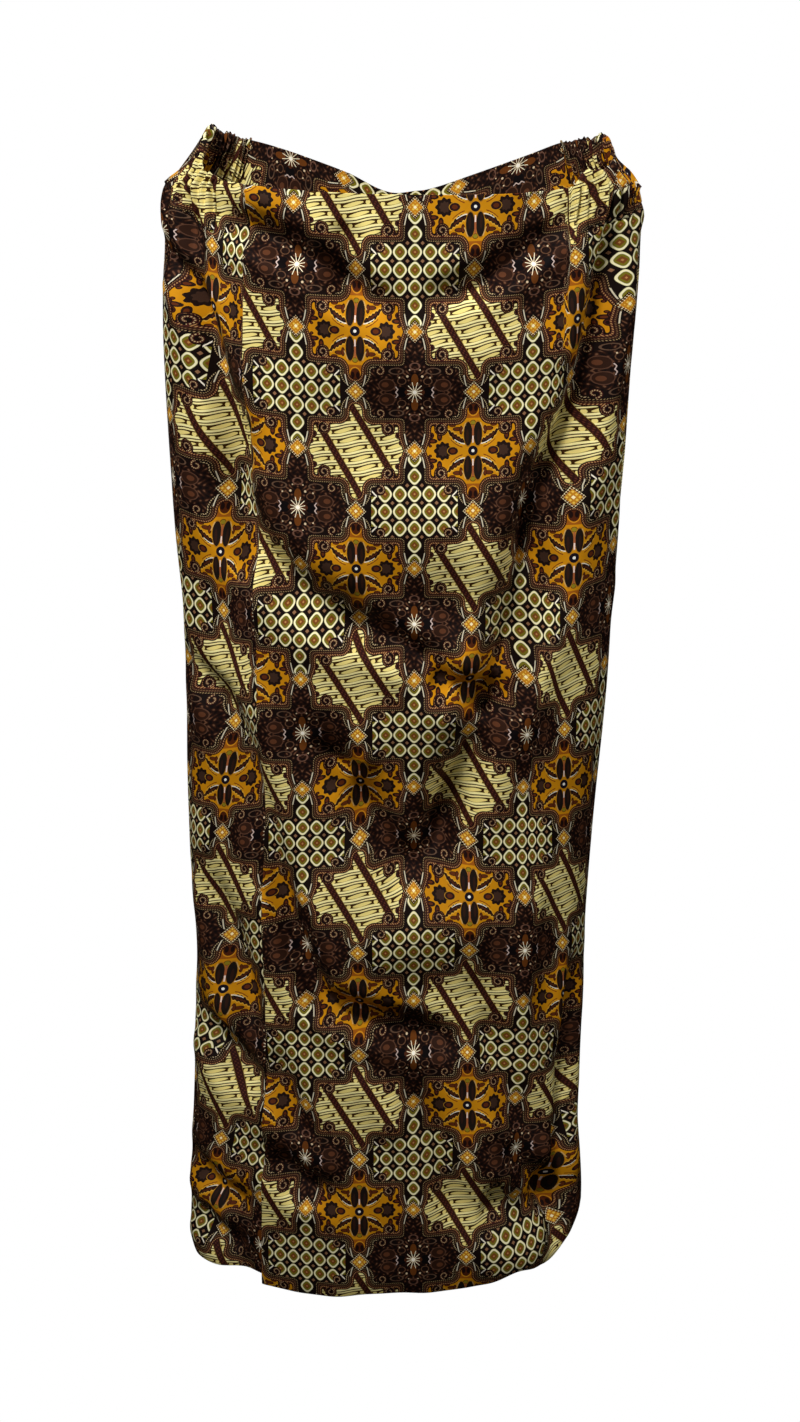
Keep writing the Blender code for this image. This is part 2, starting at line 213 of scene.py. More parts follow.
# Cloth that the dart and the folds below it take up, at lengths down the front
DART_TAKES = (
    (0.000, 0.020), (0.165, 0.010), (0.300, 0.010), (0.450, 0.012), (0.550, 0.008),
    (0.650, 0.003), (0.990, 0.002),
)

# How far the print lies to the right on the upper left front, at arcs from its ring cell
UNDER_SHIFTS = (
    (-0.130, -0.003), (-0.100, -0.004), (-0.036, -0.015), (0.004, 0.005), (0.030, 0.005),
)

# The largest folds, which the solids have too
FOLDS = (
    Crease(0.090, 0.010, 0.042, 0.070, 0.016, 0.007),
    Crease(-0.066, 0.035, -0.070, 0.085, 0.015, 0.005),
    Crease(0.111, 0.160, 0.094, 0.240, 0.017, 0.009),
    Crease(0.094, 0.240, 0.070, 0.340, 0.017, 0.009),
    Crease(-0.208, 0.040, -0.160, 0.250, 0.016, 0.007),
    Crease(-0.050, 0.345, 0.060, 0.350, 0.028, 0.005),
    Crease(-0.176, 0.560, -0.172, 0.985, 0.022, 0.008),
    Crease(0.150, 0.800, 0.146, 0.985, 0.014, 0.007),
    Crease(0.020, 0.620, 0.035, 0.990, 0.034, 0.006),
    Crease(-0.085, 0.640, -0.070, 0.990, 0.030, -0.005),
    Crease(0.090, 0.640, 0.100, 0.990, 0.028, -0.005),
    Crease(0.300, 0.080, 0.330, 0.560, 0.024, 0.008),
    Crease(0.400, 0.060, 0.405, 0.330, 0.026, 0.007),
    Crease(0.480, 0.250, 0.470, 0.985, 0.030, 0.009),
    Crease(0.560, 0.050, 0.545, 0.470, 0.024, 0.008),
    Crease(0.350, 0.520, 0.365, 0.985, 0.026, 0.009),
    Crease(0.600, 0.420, 0.590, 0.985, 0.026, 0.008),
)

# Draped folds and creases, uneven in length, depth and spacing, on every side, in millimetres
DRAPES = (
    # The elastic corners
    Fold(14, 6.0, ((172, 2), (200, -3), (235, -6), (262, -8))),
    Fold(15, 6.0, ((176, 20), (200, 21), (232, 16))),
    Fold(34, -6.0, ((-264, 32), (-235, 30), (-206, 32))),
    # Front: the swags below the waist
    Fold(17, 17.0, ((-166, 28), (-130, 37), (-105, 47), (-84, 57), (-59, 75), (-30, 94))),
    Fold(15, 8.0, ((-72, 19), (-58, 53), (-58, 77))),
    Fold(14, 13.0, ((110, 28), (80, 48), (56, 63), (32, 74), (2, 84))),
    Fold(36, -6.0, ((-70, 132), (0, 138), (60, 130))),
    Fold(56, -10.0, ((-70, 265), (0, 285), (50, 270))),
    # Front: the long folds that sweep in from both sides to the middle
    Fold(15, 16.0, ((-236, 74), (-213, 88), (-190, 110), (-176, 144), (-165, 180), (-158, 212))),
    Fold(12, 8.0, ((-200, 26), (-193, 70), (-190, 120))),
    Fold(24, 20.0, ((-150, 190), (-164, 250), (-146, 300), (-106, 336), (-66, 360), (-40, 374))),
    Fold(18, 22.0, ((155, 41), (149, 97), (141, 140), (131, 185), (116, 228))),
    Fold(25, 27.0, ((126, 200), (117, 228), (105, 256), (99, 290), (94, 328), (82, 374), (70, 408))),
    Fold(12, 10.0, ((88, 256), (95, 282), (97, 316))),
    Fold(24, 22.0, ((84, 376), (70, 412), (56, 448), (44, 486), (32, 528), (14, 570), (-6, 604))),
    Fold(16, 16.0, ((-66, 362), (-36, 373), (-14, 386), (10, 396))),
    Fold(18, 19.0, ((6, 410), (43, 426), (74, 438))),
    Fold(70, 18.0, ((-70, 515), (-15, 550), (50, 525))),
    Fold(21, 19.0, ((-94, 462), (-70, 505), (-48, 542), (-22, 588), (-8, 614))),
    Fold(44, -11.0, ((-70, 665), (0, 655), (70, 640))),
    # Front: the lower swag and the folds to the hem
    Fold(18, 15.0, ((-224, 412), (-186, 434), (-164, 479), (-147, 535), (-130, 598))),
    Fold(17, 21.0, ((-138, 585), (-113, 664), (-92, 714), (-50, 733), (-4, 747), (34, 756))),
    Fold(19, 13.0, ((-210, 597), (-192, 652), (-169, 717), (-162, 768))),
    Fold(20, 18.0, ((-222, 744), (-182, 782), (-150, 808))),
    Fold(18, 14.0, ((-226, 898), (-196, 918), (-168, 932))),
    Fold(18, 12.0, ((-142, 763), (-124, 811), (-110, 850))),
    Fold(18, 18.0, ((-140, 868), (-112, 892), (-84, 904))),
    Fold(15, 14.0, ((178, 688), (172, 736), (170, 821), (156, 894), (151, 985))),
    Fold(24, 15.0, ((64, 721), (86, 789), (108, 840), (122, 880))),
    Fold(34, 22.0, ((64, 916), (104, 928), (148, 942))),
    Fold(18, 15.0, ((82, 860), (104, 878), (134, 908), (154, 948))),
    Fold(22, -7.0, ((112, 600), (108, 660), (104, 720))),
    Fold(20, -6.0, ((-62, 786), (-38, 816), (-20, 850))),
    Fold(20, 13.0, ((-222, 944), (-198, 962), (-168, 980))),
    Fold(18, 12.0, ((-10, 797), (19, 866), (40, 936))),
    # Front: small creases
    Fold(3, 1.8, ((-140, 348), (-124, 345), (-108, 344))),
    Fold(3, 2.0, ((118, 254), (134, 250), (150, 262))),
    Fold(5, 2.2, ((30, 420), (58, 404), (85, 400))),
    Fold(7, 2.4, ((-110, 470), (-76, 492), (-40, 500))),
    # Right side and back
    Fold(13, 8.0, ((190, 60), (205, 140), (200, 240), (212, 330))),
    Fold(10, 6.0, ((235, 70), (245, 150), (262, 210))),
    Fold(18, 9.0, ((215, 380), (232, 470), (225, 600), (236, 760), (230, 985))),
    Fold(12, 8.0, ((280, 60), (300, 130), (336, 190), (380, 214))),
    Fold(12, 8.5, ((610, 55), (588, 120), (548, 176), (500, 212))),
    Fold(13, 7.0, ((330, 80), (362, 150), (402, 186), (440, 190))),
    Fold(19, 9.0, ((290, 250), (316, 330), (370, 392), (430, 420))),
    Fold(18, 9.5, ((610, 230), (585, 310), (540, 372), (480, 410))),
    Fold(50, -7.0, ((360, 300), (450, 320), (540, 290))),
    Fold(46, 8.0, ((370, 520), (460, 545), (550, 500))),
    Fold(14, 8.0, ((300, 480), (318, 580), (360, 650), (420, 690))),
    Fold(15, 8.5, ((606, 470), (580, 600), (540, 690), (470, 735))),
    Fold(18, 8.5, ((330, 720), (345, 830), (338, 985))),
    Fold(17, 8.0, ((420, 760), (432, 860), (425, 985))),
    Fold(18, 9.0, ((520, 740), (508, 850), (516, 985))),
    Fold(13, 7.0, ((590, 760), (600, 860), (596, 985))),
    Fold(6, 2.5, ((430, 55), (440, 110), (445, 160))),
    Fold(6, 2.2, ((510, 60), (500, 130), (490, 200))),
    # Left side
    Fold(13, 8.0, ((655, 60), (668, 150), (660, 260), (672, 360))),
    Fold(18, 8.5, ((650, 400), (664, 520), (655, 680), (668, 985))),
)


@dataclass(frozen=True)
class SkirtForm:
    """The tube of cloth, with its waist edge, its casings and its folds.

    Attributes:
        centre_x: Where the front and back centre lines lie across the skirt.
        power: Power of the ring's rounded-box curve; 2 would be an ellipse.
        reference_length: The ring on which the tube's arcs are measured.
        band_height: Height of the casings and of the back's facing.
        draw_start: Height at which the elastic starts to draw the sides in.
        draw_height: Height over which it draws them in fully.
        draw_left: Share of its reach by which the left side is drawn in, and likewise right.
        release_folds: How many broad folds each casing lets go.
        fine_releases: The finer ones: their number, depth and reach down the cloth.
        side_angle: Where the side seams lie.
        bank_fall: How fast a draped fold's raised banks die out sideways.
        fold_end: How far up the soft step a draped fold starts: it has 0.28 of its depth there.
        fold_fade: Share of its line that a whole soft step would take.
        normal_steps: Degrees and metres between the places that give the tube's normal.
    """

    centre_x: float = 0.013
    power: float = 2.5
    reference_length: float = 0.400
    band_height: float = 0.045
    draw_start: float = 0.010
    draw_height: float = 0.049
    draw_left: float = 0.152
    draw_right: float = 0.215
    draw_power: float = 0.8
    draw_limit: float = 1.2
    release_folds: int = 8
    release_depth: float = 0.0022
    release_length: float = 0.110
    release_ends: float = 0.10
    fine_releases: tuple[tuple[int, float, float], ...] = ((13, 0.0013, 0.085), (20, 0.0011, 0.040))
    side_angle: float = 90.0
    bank_fall: float = 0.7
    fold_end: float = 0.35
    fold_fade: float = 0.3
    normal_steps: tuple[float, float] = (0.15, 0.002)
    casings: dict[Side, Casing] = field(
        default_factory=lambda: {Side.LEFT: Casing(-49.0, -136.0), Side.RIGHT: Casing(37.5, 140.0)}
    )

    def ring(self, column: str, length: Array) -> Array:
        """One column of the table of rings, smooth between its rows."""
        return through([r.length for r in RINGS], [getattr(r, column) for r in RINGS], length)

    def section(self, angle: Array, length: Array) -> Array:
        """Points of the plain tube.

        The ring is a rounded box: x is the half width times the sine's size to the power
        2 / power, y the depth times the cosine's, each with its sign. The sides rise by the
        sine squared, and above the waist level they are drawn in by a share of their reach.

        Args:
            angle: Degrees round the tube from the front centre line.
            length: Metres down the cloth.

        Returns:
            Points, in metres, with a last axis of 3.
        """
        turn = np.radians(angle)
        sine, cosine = np.sin(turn), np.cos(turn)
        right = sine > 0
        half = np.where(right, self.ring("right", length), self.ring("left", length))
        rise = np.where(right, self.ring("rise_right", length), self.ring("rise_left", length))
        reach = np.sign(sine) * np.abs(sine) ** (2 / self.power)
        back = np.sign(cosine) * np.abs(cosine) ** (2 / self.power)
        z = rise * sine**2 - self.ring("drop", length) + np.maximum(-length, 0.0)
        drawn = np.clip((z - self.draw_start) / self.draw_height, 0.0, self.draw_limit)
        share = np.where(right, self.draw_right, self.draw_left) * drawn**self.draw_power * sine**2
        x = self.centre_x + half * reach * (1 - share)
        y = self.ring("centre_y", length) - self.ring("depth", length) * back
        return np.stack(np.broadcast_arrays(x, y, z), axis=-1)

    @cached_property
    def angles(self) -> Array:
        """Even angles once round the tube, fine enough to measure its arcs."""
        return np.linspace(-180.0, 180.0, 7201)

    @cached_property
    def arcs(self) -> Array:
        """The arc at each of the even angles, on the reference ring.

        Returns:
            Arcs in metres, 0 at the front centre line.
        """
        points = self.section(self.angles, np.full_like(self.angles, self.reference_length))
        arcs = np.append(0.0, np.cumsum(np.linalg.norm(np.diff(points, axis=0), axis=1)))
        return arcs - arcs[len(arcs) // 2]

    @cached_property
    def girth(self) -> float:
        """The arc once round the reference ring."""
        return float(self.arcs[-1] - self.arcs[0])

    def angle_at(self, arc: Array) -> Array:
        """The angle round the tube at an arc, which may run past the back centre.

        Args:
            arc: Arcs in metres.

        Returns:
            Angles in degrees.
        """
        arc = np.asarray(arc, float)
        whole = np.floor((arc - self.arcs[0]) / self.girth)
        return np.interp(arc - whole * self.girth, self.arcs, self.angles) + 360.0 * whole

    def arc_at(self, angle: Array) -> Array:
        """The arc of an angle, which may run past the back centre.

        Args:
            angle: Angles in degrees.

        Returns:
            Arcs in metres.
        """
        angle = np.asarray(angle, float)
        whole = np.floor((angle + 180.0) / 360.0)
        return np.interp(angle - 360.0 * whole, self.angles, self.arcs) + self.girth * whole

    @cached_property
    def cloth_arcs(self) -> tuple[Array, Array]:
        """Lengths, and for each of them the real arc along its own ring at the even angles.

        Returns:
            The lengths, and a table of arcs with a row for each of them.
        """
        lengths = np.linspace(0.0, RINGS[-1].length, 67)
        points = self.section(self.angles[None, :], lengths[:, None])
        steps = np.linalg.norm(np.diff(points[..., :2], axis=1), axis=-1)
        arcs = np.concatenate([np.zeros((len(lengths), 1)), np.cumsum(steps, axis=1)], axis=1)
        return lengths, arcs - arcs[:, len(self.angles) // 2][:, None]

    def cloth_arc(self, arc: Array, length: Array) -> Array:
        """The real arc of a place along its own ring, from the front centre line.

        The two nearest rings of the fine table are read at the place's angle, and the
        result lies between them in proportion to the length.

        Args:
            arc: Arcs of the places.
            length: Lengths of the places.

        Returns:
            Real arcs in metres.
        """
        angle = self.angle_at(arc)
        whole = np.floor((angle + 180.0) / 360.0)
        lengths, table = self.cloth_arcs
        column = (angle - 360.0 * whole + 180.0) / 360.0 * (len(self.angles) - 1)
        row = np.clip(np.asarray(length) / lengths[-1], 0.0, 1.0) * (len(lengths) - 1)
        i = np.minimum(row.astype(int), len(lengths) - 2)
        j = np.minimum(column.astype(int), len(self.angles) - 2)
        down, over = row - i, column - j
        upper = table[i, j] * (1 - over) + table[i, j + 1] * over
        lower = table[i + 1, j] * (1 - over) + table[i + 1, j + 1] * over
        turn = (table[i, -1] - table[i, 0]) * whole
        return upper * (1 - down) + lower * down + turn

    def waist_length(self, arc: Array) -> Array:
        """The length at which the waist's edge lies, negative where the side is raised.

        Args:
            arc: Arcs of the places.

        Returns:
            Lengths in metres.
        """
        angle = (self.angle_at(arc) + 180.0) % 360.0 - 180.0
        angles, heights = zip(*WAIST_EDGE)
        sine = np.sin(np.radians(angle))
        rise = np.where(sine > 0, RINGS[0].rise_right, RINGS[0].rise_left) * sine**2
        return rise - through(angles, heights, angle)

    def casing_ends(self, side: Side) -> tuple[float, float]:
        """The lower and the higher arc at which a casing ends.

        Args:
            side: The casing's side.

        Returns:
            The two arcs in metres.
        """
        casing = self.casings[side]
        low, high = sorted(self.arc_at([casing.front_angle, casing.back_angle]).tolist())
        return low, high

    def casing_share(self, arc: Array, side: Side) -> Array:
        """Where an arc lies in a casing, from 0 at its front end to 1 at its back end.

        Args:
            arc: Arcs of the places.
            side: The casing's side.

        Returns:
            Shares, which are below 0 or above 1 outside it.
        """
        casing = self.casings[side]
        front, back = self.arc_at(casing.front_angle), self.arc_at(casing.back_angle)
        middle = (front + back) / 2
        near = (np.asarray(arc) - middle + self.girth / 2) % self.girth - self.girth / 2
        return (near + middle - front) / (back - front)

    def crease_depth(self, arc: Array, length: Array) -> Array:
        """How far the largest folds push the cloth in.

        Each adds its depth times exp(-(across / width) squared), where across is measured
        from its straight line, and tapers off past its two ends.

        Args:
            arc: Arcs of the places.
            length: Lengths of the places.

        Returns:
            Depths in metres.
        """
        depth = np.zeros(np.broadcast(arc, length).shape)
        for crease in FOLDS:
            run = np.array([crease.foot_arc - crease.head_arc, crease.foot_length - crease.head_length])
            size = np.linalg.norm(run)
            run = run / size
            for turn in (-self.girth, 0.0, self.girth):
                over = arc + turn - crease.head_arc
                down = length - crease.head_length
                along = (over * run[0] + down * run[1]) / size
                across = over * run[1] - down * run[0]
                ends = soft_step((along + crease.taper) / crease.taper)
                ends = ends * soft_step((1 + crease.taper - along) / crease.taper)
                depth += crease.depth * ends * np.exp(-((across / crease.width) ** 2))
        return depth

    def drape_depth(self, arc: Array, length: Array) -> Array:
        """How far the draped folds push the cloth in.

        With q the distance from a fold's line over its width, the trough is
        (1 - q squared) exp(-bank_fall q squared) deep, so that its banks stand up on both
        sides. It fades over the first and last fifth of the line.

        Args:
            arc: Arcs of the places.
            length: Lengths of the places.

        Returns:
            Depths in metres.
        """
        arc, length = np.broadcast_arrays(arc, length)
        depth = np.zeros(arc.shape)
        for fold in DRAPES:
            line = np.array(fold.line) * MM
            runs = np.diff(line, axis=0)
            sizes = np.linalg.norm(runs, axis=1)
            before = np.append(0.0, np.cumsum(sizes))
            for turn in (-self.girth, 0.0, self.girth):
                nearest = np.full(arc.shape, np.inf)
                along = np.zeros(arc.shape)
                for corner, run, size, start in zip(line, runs, sizes, before):
                    x, y = arc + turn - corner[0], length - corner[1]
                    share = np.clip((x * run[0] + y * run[1]) / size**2, 0.0, 1.0)
                    gap = np.hypot(x - share * run[0], y - share * run[1])
                    along = np.where(gap < nearest, (start + share * size) / before[-1], along)
                    nearest = np.minimum(gap, nearest)
                q = (nearest / (fold.width * MM)) ** 2
                ends = soft_step(self.fold_end + along / self.fold_fade)
                ends = ends * soft_step(self.fold_end + (1 - along) / self.fold_fade)
                depth += fold.depth * MM * (1 - q) * np.exp(-self.bank_fall * q) * ends
        return depth

    def release(self, arc: Array, length: Array) -> Array:
        """Folds let go by the gathers: broad ones as in the solids, and finer ones on them.

        The broad ones are raised cosines round the casing, which die out down the cloth;
        the finer ones are sines, shallower, shorter and uneven, that drift sideways.

        Args:
            arc: Arcs of the places.
            length: Lengths of the places.

        Returns:
            Depths in metres.
        """
        below = length - self.waist_length(arc) - self.band_height
        total = np.zeros(np.broadcast(arc, length).shape)
        for side in Side:
            share = self.casing_share(arc, side)
            inside = soft_step(share / self.release_ends)
            inside = inside * soft_step((1 - share) / self.release_ends)
            broad = 0.5 - 0.5 * np.cos(2 * math.pi * self.release_folds * share)
            fade = 1.0 - soft_step(below / self.release_length)
            total = total + self.release_depth * broad * inside * fade
            drift = 0.6 * np.sin(7.0 * share + 1.3) + 8.0 * below
            for count, depth, reach in self.fine_releases:
                wave = np.sin(2 * math.pi * count * share + drift * count / 9.0)
                strength = 0.65 + 0.35 * np.sin(2 * math.pi * 2.6 * share + count)
                total = total + depth * wave * strength * inside * (1.0 - soft_step(below / reach))
        return total

    def draped(self, arc: Array, length: Array) -> tuple[Array, Array]:
        """The tube with its folds and creases.

        Args:
            arc: Arcs of the places.
            length: Lengths of the places.

        Returns:
            The points, and the outward normals of the plain tube there, from the cross
            product of its two directions.
        """
        angle = self.angle_at(arc)
        turn, step = self.normal_steps
        round_it = self.section(angle + turn, length) - self.section(angle - turn, length)
        down_it = self.section(angle, length + step) - self.section(angle, length - step)
        normal = np.cross(down_it, round_it)
        normal /= np.linalg.norm(normal, axis=-1, keepdims=True)
        depth = self.crease_depth(arc, length) + self.drape_depth(arc, length)
        depth = depth + self.release(arc, length)
        return self.section(angle, length) - normal * depth[..., None], normal


FORM = SkirtForm()


def add_node(
    tree: bpy.types.NodeTree, kind: str, inputs: dict | tuple = (), **settings: object
) -> bpy.types.Node:
    """Adds a node with its settings, values and links.

    Args:
        tree: The node tree.
        kind: The node's type name.
        inputs: Sockets, signals or values, in order or by the input's name or number.
        **settings: The node's own properties.

    Returns:
        The new node.
    """
    node = tree.nodes.new(kind)
    for name, value in settings.items():
        setattr(node, name, value)
    for key, value in inputs.items() if isinstance(inputs, dict) else enumerate(inputs):
        value = getattr(value, "socket", value)
        if isinstance(value, bpy.types.NodeSocket):
            tree.links.new(value, node.inputs[key])
        else:
            node.inputs[key].default_value = value
    return node


@dataclass(frozen=True)
class Signal:
    """A number that varies over the cloth, carried by a shader socket."""

    tree: bpy.types.NodeTree
    socket: bpy.types.NodeSocket

    def math(self, operation: str, *others: "Signal | float") -> "Signal":
        """This number and others put through one operation of a Math node."""
        node = add_node(self.tree, "ShaderNodeMath", (self, *others), operation=operation)
        return Signal(self.tree, node.outputs[0])

    def __add__(self, other: "Signal | float") -> "Signal":
        """The sum."""
        return self.math("ADD", other)

    def __sub__(self, other: "Signal | float") -> "Signal":
        """The difference."""
        return self.math("SUBTRACT", other)

    def __mul__(self, other: "Signal | float") -> "Signal":
        """The product, which is both where the two are masks."""
        return self.math("MULTIPLY", other)

    def __truediv__(self, other: "Signal | float") -> "Signal":
        """The quotient."""
        return self.math("DIVIDE", other)

    def __or__(self, other: "Signal | float") -> "Signal":
        """The larger, which is either where the two are masks."""
        return self.math("MAXIMUM", other)

    def __and__(self, other: "Signal | float") -> "Signal":
        """The smaller, which is both where the two are masks."""
        return self.math("MINIMUM", other)

    def __abs__(self) -> "Signal":
        """The size without its sign."""
        return self.math("ABSOLUTE")

    def __lt__(self, other: "Signal | float") -> "Signal":
        """A mask: 1 where this is below the other."""
        return self.math("LESS_THAN", other)

    def __gt__(self, other: "Signal | float") -> "Signal":
        """A mask: 1 where this is above the other."""
        return self.math("GREATER_THAN", other)

    def wrapped(self, period: float) -> "Signal":
        """The distance from the nearest whole number of periods, with its sign."""
        return self - (self / period).math("ROUND") * period

    def near(self, place: float, reach: float) -> "Signal":
        """A mask: 1 within a reach of a place."""
        return self.math("COMPARE", place, reach)


@dataclass(frozen=True)
class Tone:
    """A colour inside an oval's level, or within half a width of it, which is a ring."""

    colour: str
    level: float = 1.0
    half: float | None = None


@dataclass(frozen=True)
class Blot:
    """One oval of a printed cell: its place and radii in millimetres, and its tones."""

    at: tuple[float, float]
    radii: tuple[float, float]
    tones: tuple[Tone, ...]


@dataclass
class Ink:
    """The cloth's colour while it is printed, one layer on another.

    Attributes:
        tree: The material's node tree.
        socket: The colour so far; before the first layer, the dyed ground.
    """

    tree: bpy.types.NodeTree
    socket: bpy.types.NodeSocket | tuple = linear("#140a07")

    def lay(self, mask: Signal, colour: str) -> None:
        """Prints a colour where the mask is 1.

        Args:
            mask: Where it is printed.
            colour: Its hex colour.
        """
        inputs = {0: mask, 6: self.socket, 7: linear(colour)}
        self.socket = add_node(
            self.tree, "ShaderNodeMix", inputs, data_type="RGBA", clamp_factor=True
        ).outputs[2]

    def blots(self, cell: Signal, x: Signal, y: Signal, shapes: tuple[Blot, ...]) -> None:
        """Prints ovals and oval rings, one on another, within a cell.

        Args:
            cell: Where the cell is.
            x: Its first coordinate, in millimetres.
            y: Its second coordinate.
            shapes: The ovals, the lowest first.
        """
        for shape in shapes:
            level = oval(x, y, shape.at, shape.radii)
            for tone in shape.tones:
                inside = level < tone.level if tone.half is None else level.near(tone.level, tone.half)
                self.lay(cell * inside, tone.colour)


def oval(x: Signal, y: Signal, at: tuple[float, float], radii: tuple[float, float]) -> Signal:
    """Below 1 inside an oval: the sum of the squares of the distances over the radii.

    Args:
        x: Places across.
        y: Places down.
        at: The oval's middle.
        radii: Its reach across and down.

    Returns:
        The level, which is 1 on the oval's line.
    """
    across = (x - at[0]) / radii[0]
    down = (y - at[1]) / radii[1]
    return across * across + down * down


# A star cell's petals and rosettes, under and over its scallops
STAR_PETALS = (
    Blot((22.0, 19.5), (6.5, 4.0), (Tone("#140a07"),)),
    Blot((23.5, 6.2), (7.2, 5.4), (Tone("#2e190f"), Tone("#57392a", 0.90, 0.12))),
    Blot((25.0, 6.4), (3.0, 2.2), (Tone("#5a3420"),)),
    Blot((11.0, 9.6), (3.8, 3.0), (Tone("#1b0d09", 1.2), Tone("#62432f", 0.85, 0.20))),
    Blot((15.5, 18.0), (6.4, 2.8), (Tone("#5e4636", 0.85, 0.22),)),
    Blot((11.0, 0.0), (4.8, 4.4), (Tone("#0c0708"),)),
    Blot((0.0, 10.6), (3.0, 5.2), (Tone("#643612"),)),
    Blot((0.0, 22.0), (4.4, 3.0), (Tone("#6a4a3c", 0.85, 0.25),)),
)
STAR_HEART = (
    Blot((0.0, 0.0), (8.6, 3.8), (Tone("#4a2614"),)),
    Blot((6.3, 13.6), (1.0, 1.0), (Tone("#d8bf9a"),)),
    Blot((13.0, 12.6), (0.7, 0.7), (Tone("#d8bf9a"),)),
    Blot((4.4, 19.0), (0.6, 0.6), (Tone("#d8bf9a"),)),
)

# A flower cell's end buds, its leaflets with its petals, and its side buds
LEAFLET_TONES = (Tone("#5c2a10"), Tone("#22120f", 0.95, 0.25))
BUD_TONES = (Tone("#22120f"), Tone("#5c2a10", 0.25))
FLOWER_TIPS = (
    Blot((0.0, 36.0), (4.9, 6.6), (Tone("#4e220c"), Tone("#d08a1c", 0.95, 0.16))),
    Blot((2.1, 36.0), (1.5, 2.8), (Tone("#1c0c08"),)),
    Blot((0.0, 23.6), (2.3, 2.0), (Tone("#8c7a1c"), Tone("#5c2a10", 1.0, 0.25))),
)
FLOWER_PETALS = (
    Blot((13.4, 18.4), (3.6, 1.7), LEAFLET_TONES),
    Blot((10.2, 17.4), (1.5, 3.4), LEAFLET_TONES),
    Blot((17.6, 21.4), (2.6, 1.3), LEAFLET_TONES),
    Blot((4.2, 14.2), (3.6, 10.0), (Tone("#a8701c", 1.22), Tone("#1d1510"))),
    Blot((4.8, 12.0), (1.2, 6.0), (Tone("#2e1a12"),)),
)
FLOWER_BUDS = (
    Blot((17.2, 0.0), (4.4, 3.3), (Tone("#c08a20", 1.25), Tone("#2a1414"), Tone("#5c2a10", 0.3))),
    Blot((34.6, 8.2), (4.2, 2.1), BUD_TONES),
    Blot((28.6, 12.0), (2.3, 3.8), BUD_TONES),
    Blot((36.6, 4.2), (1.6, 1.3), BUD_TONES),
)


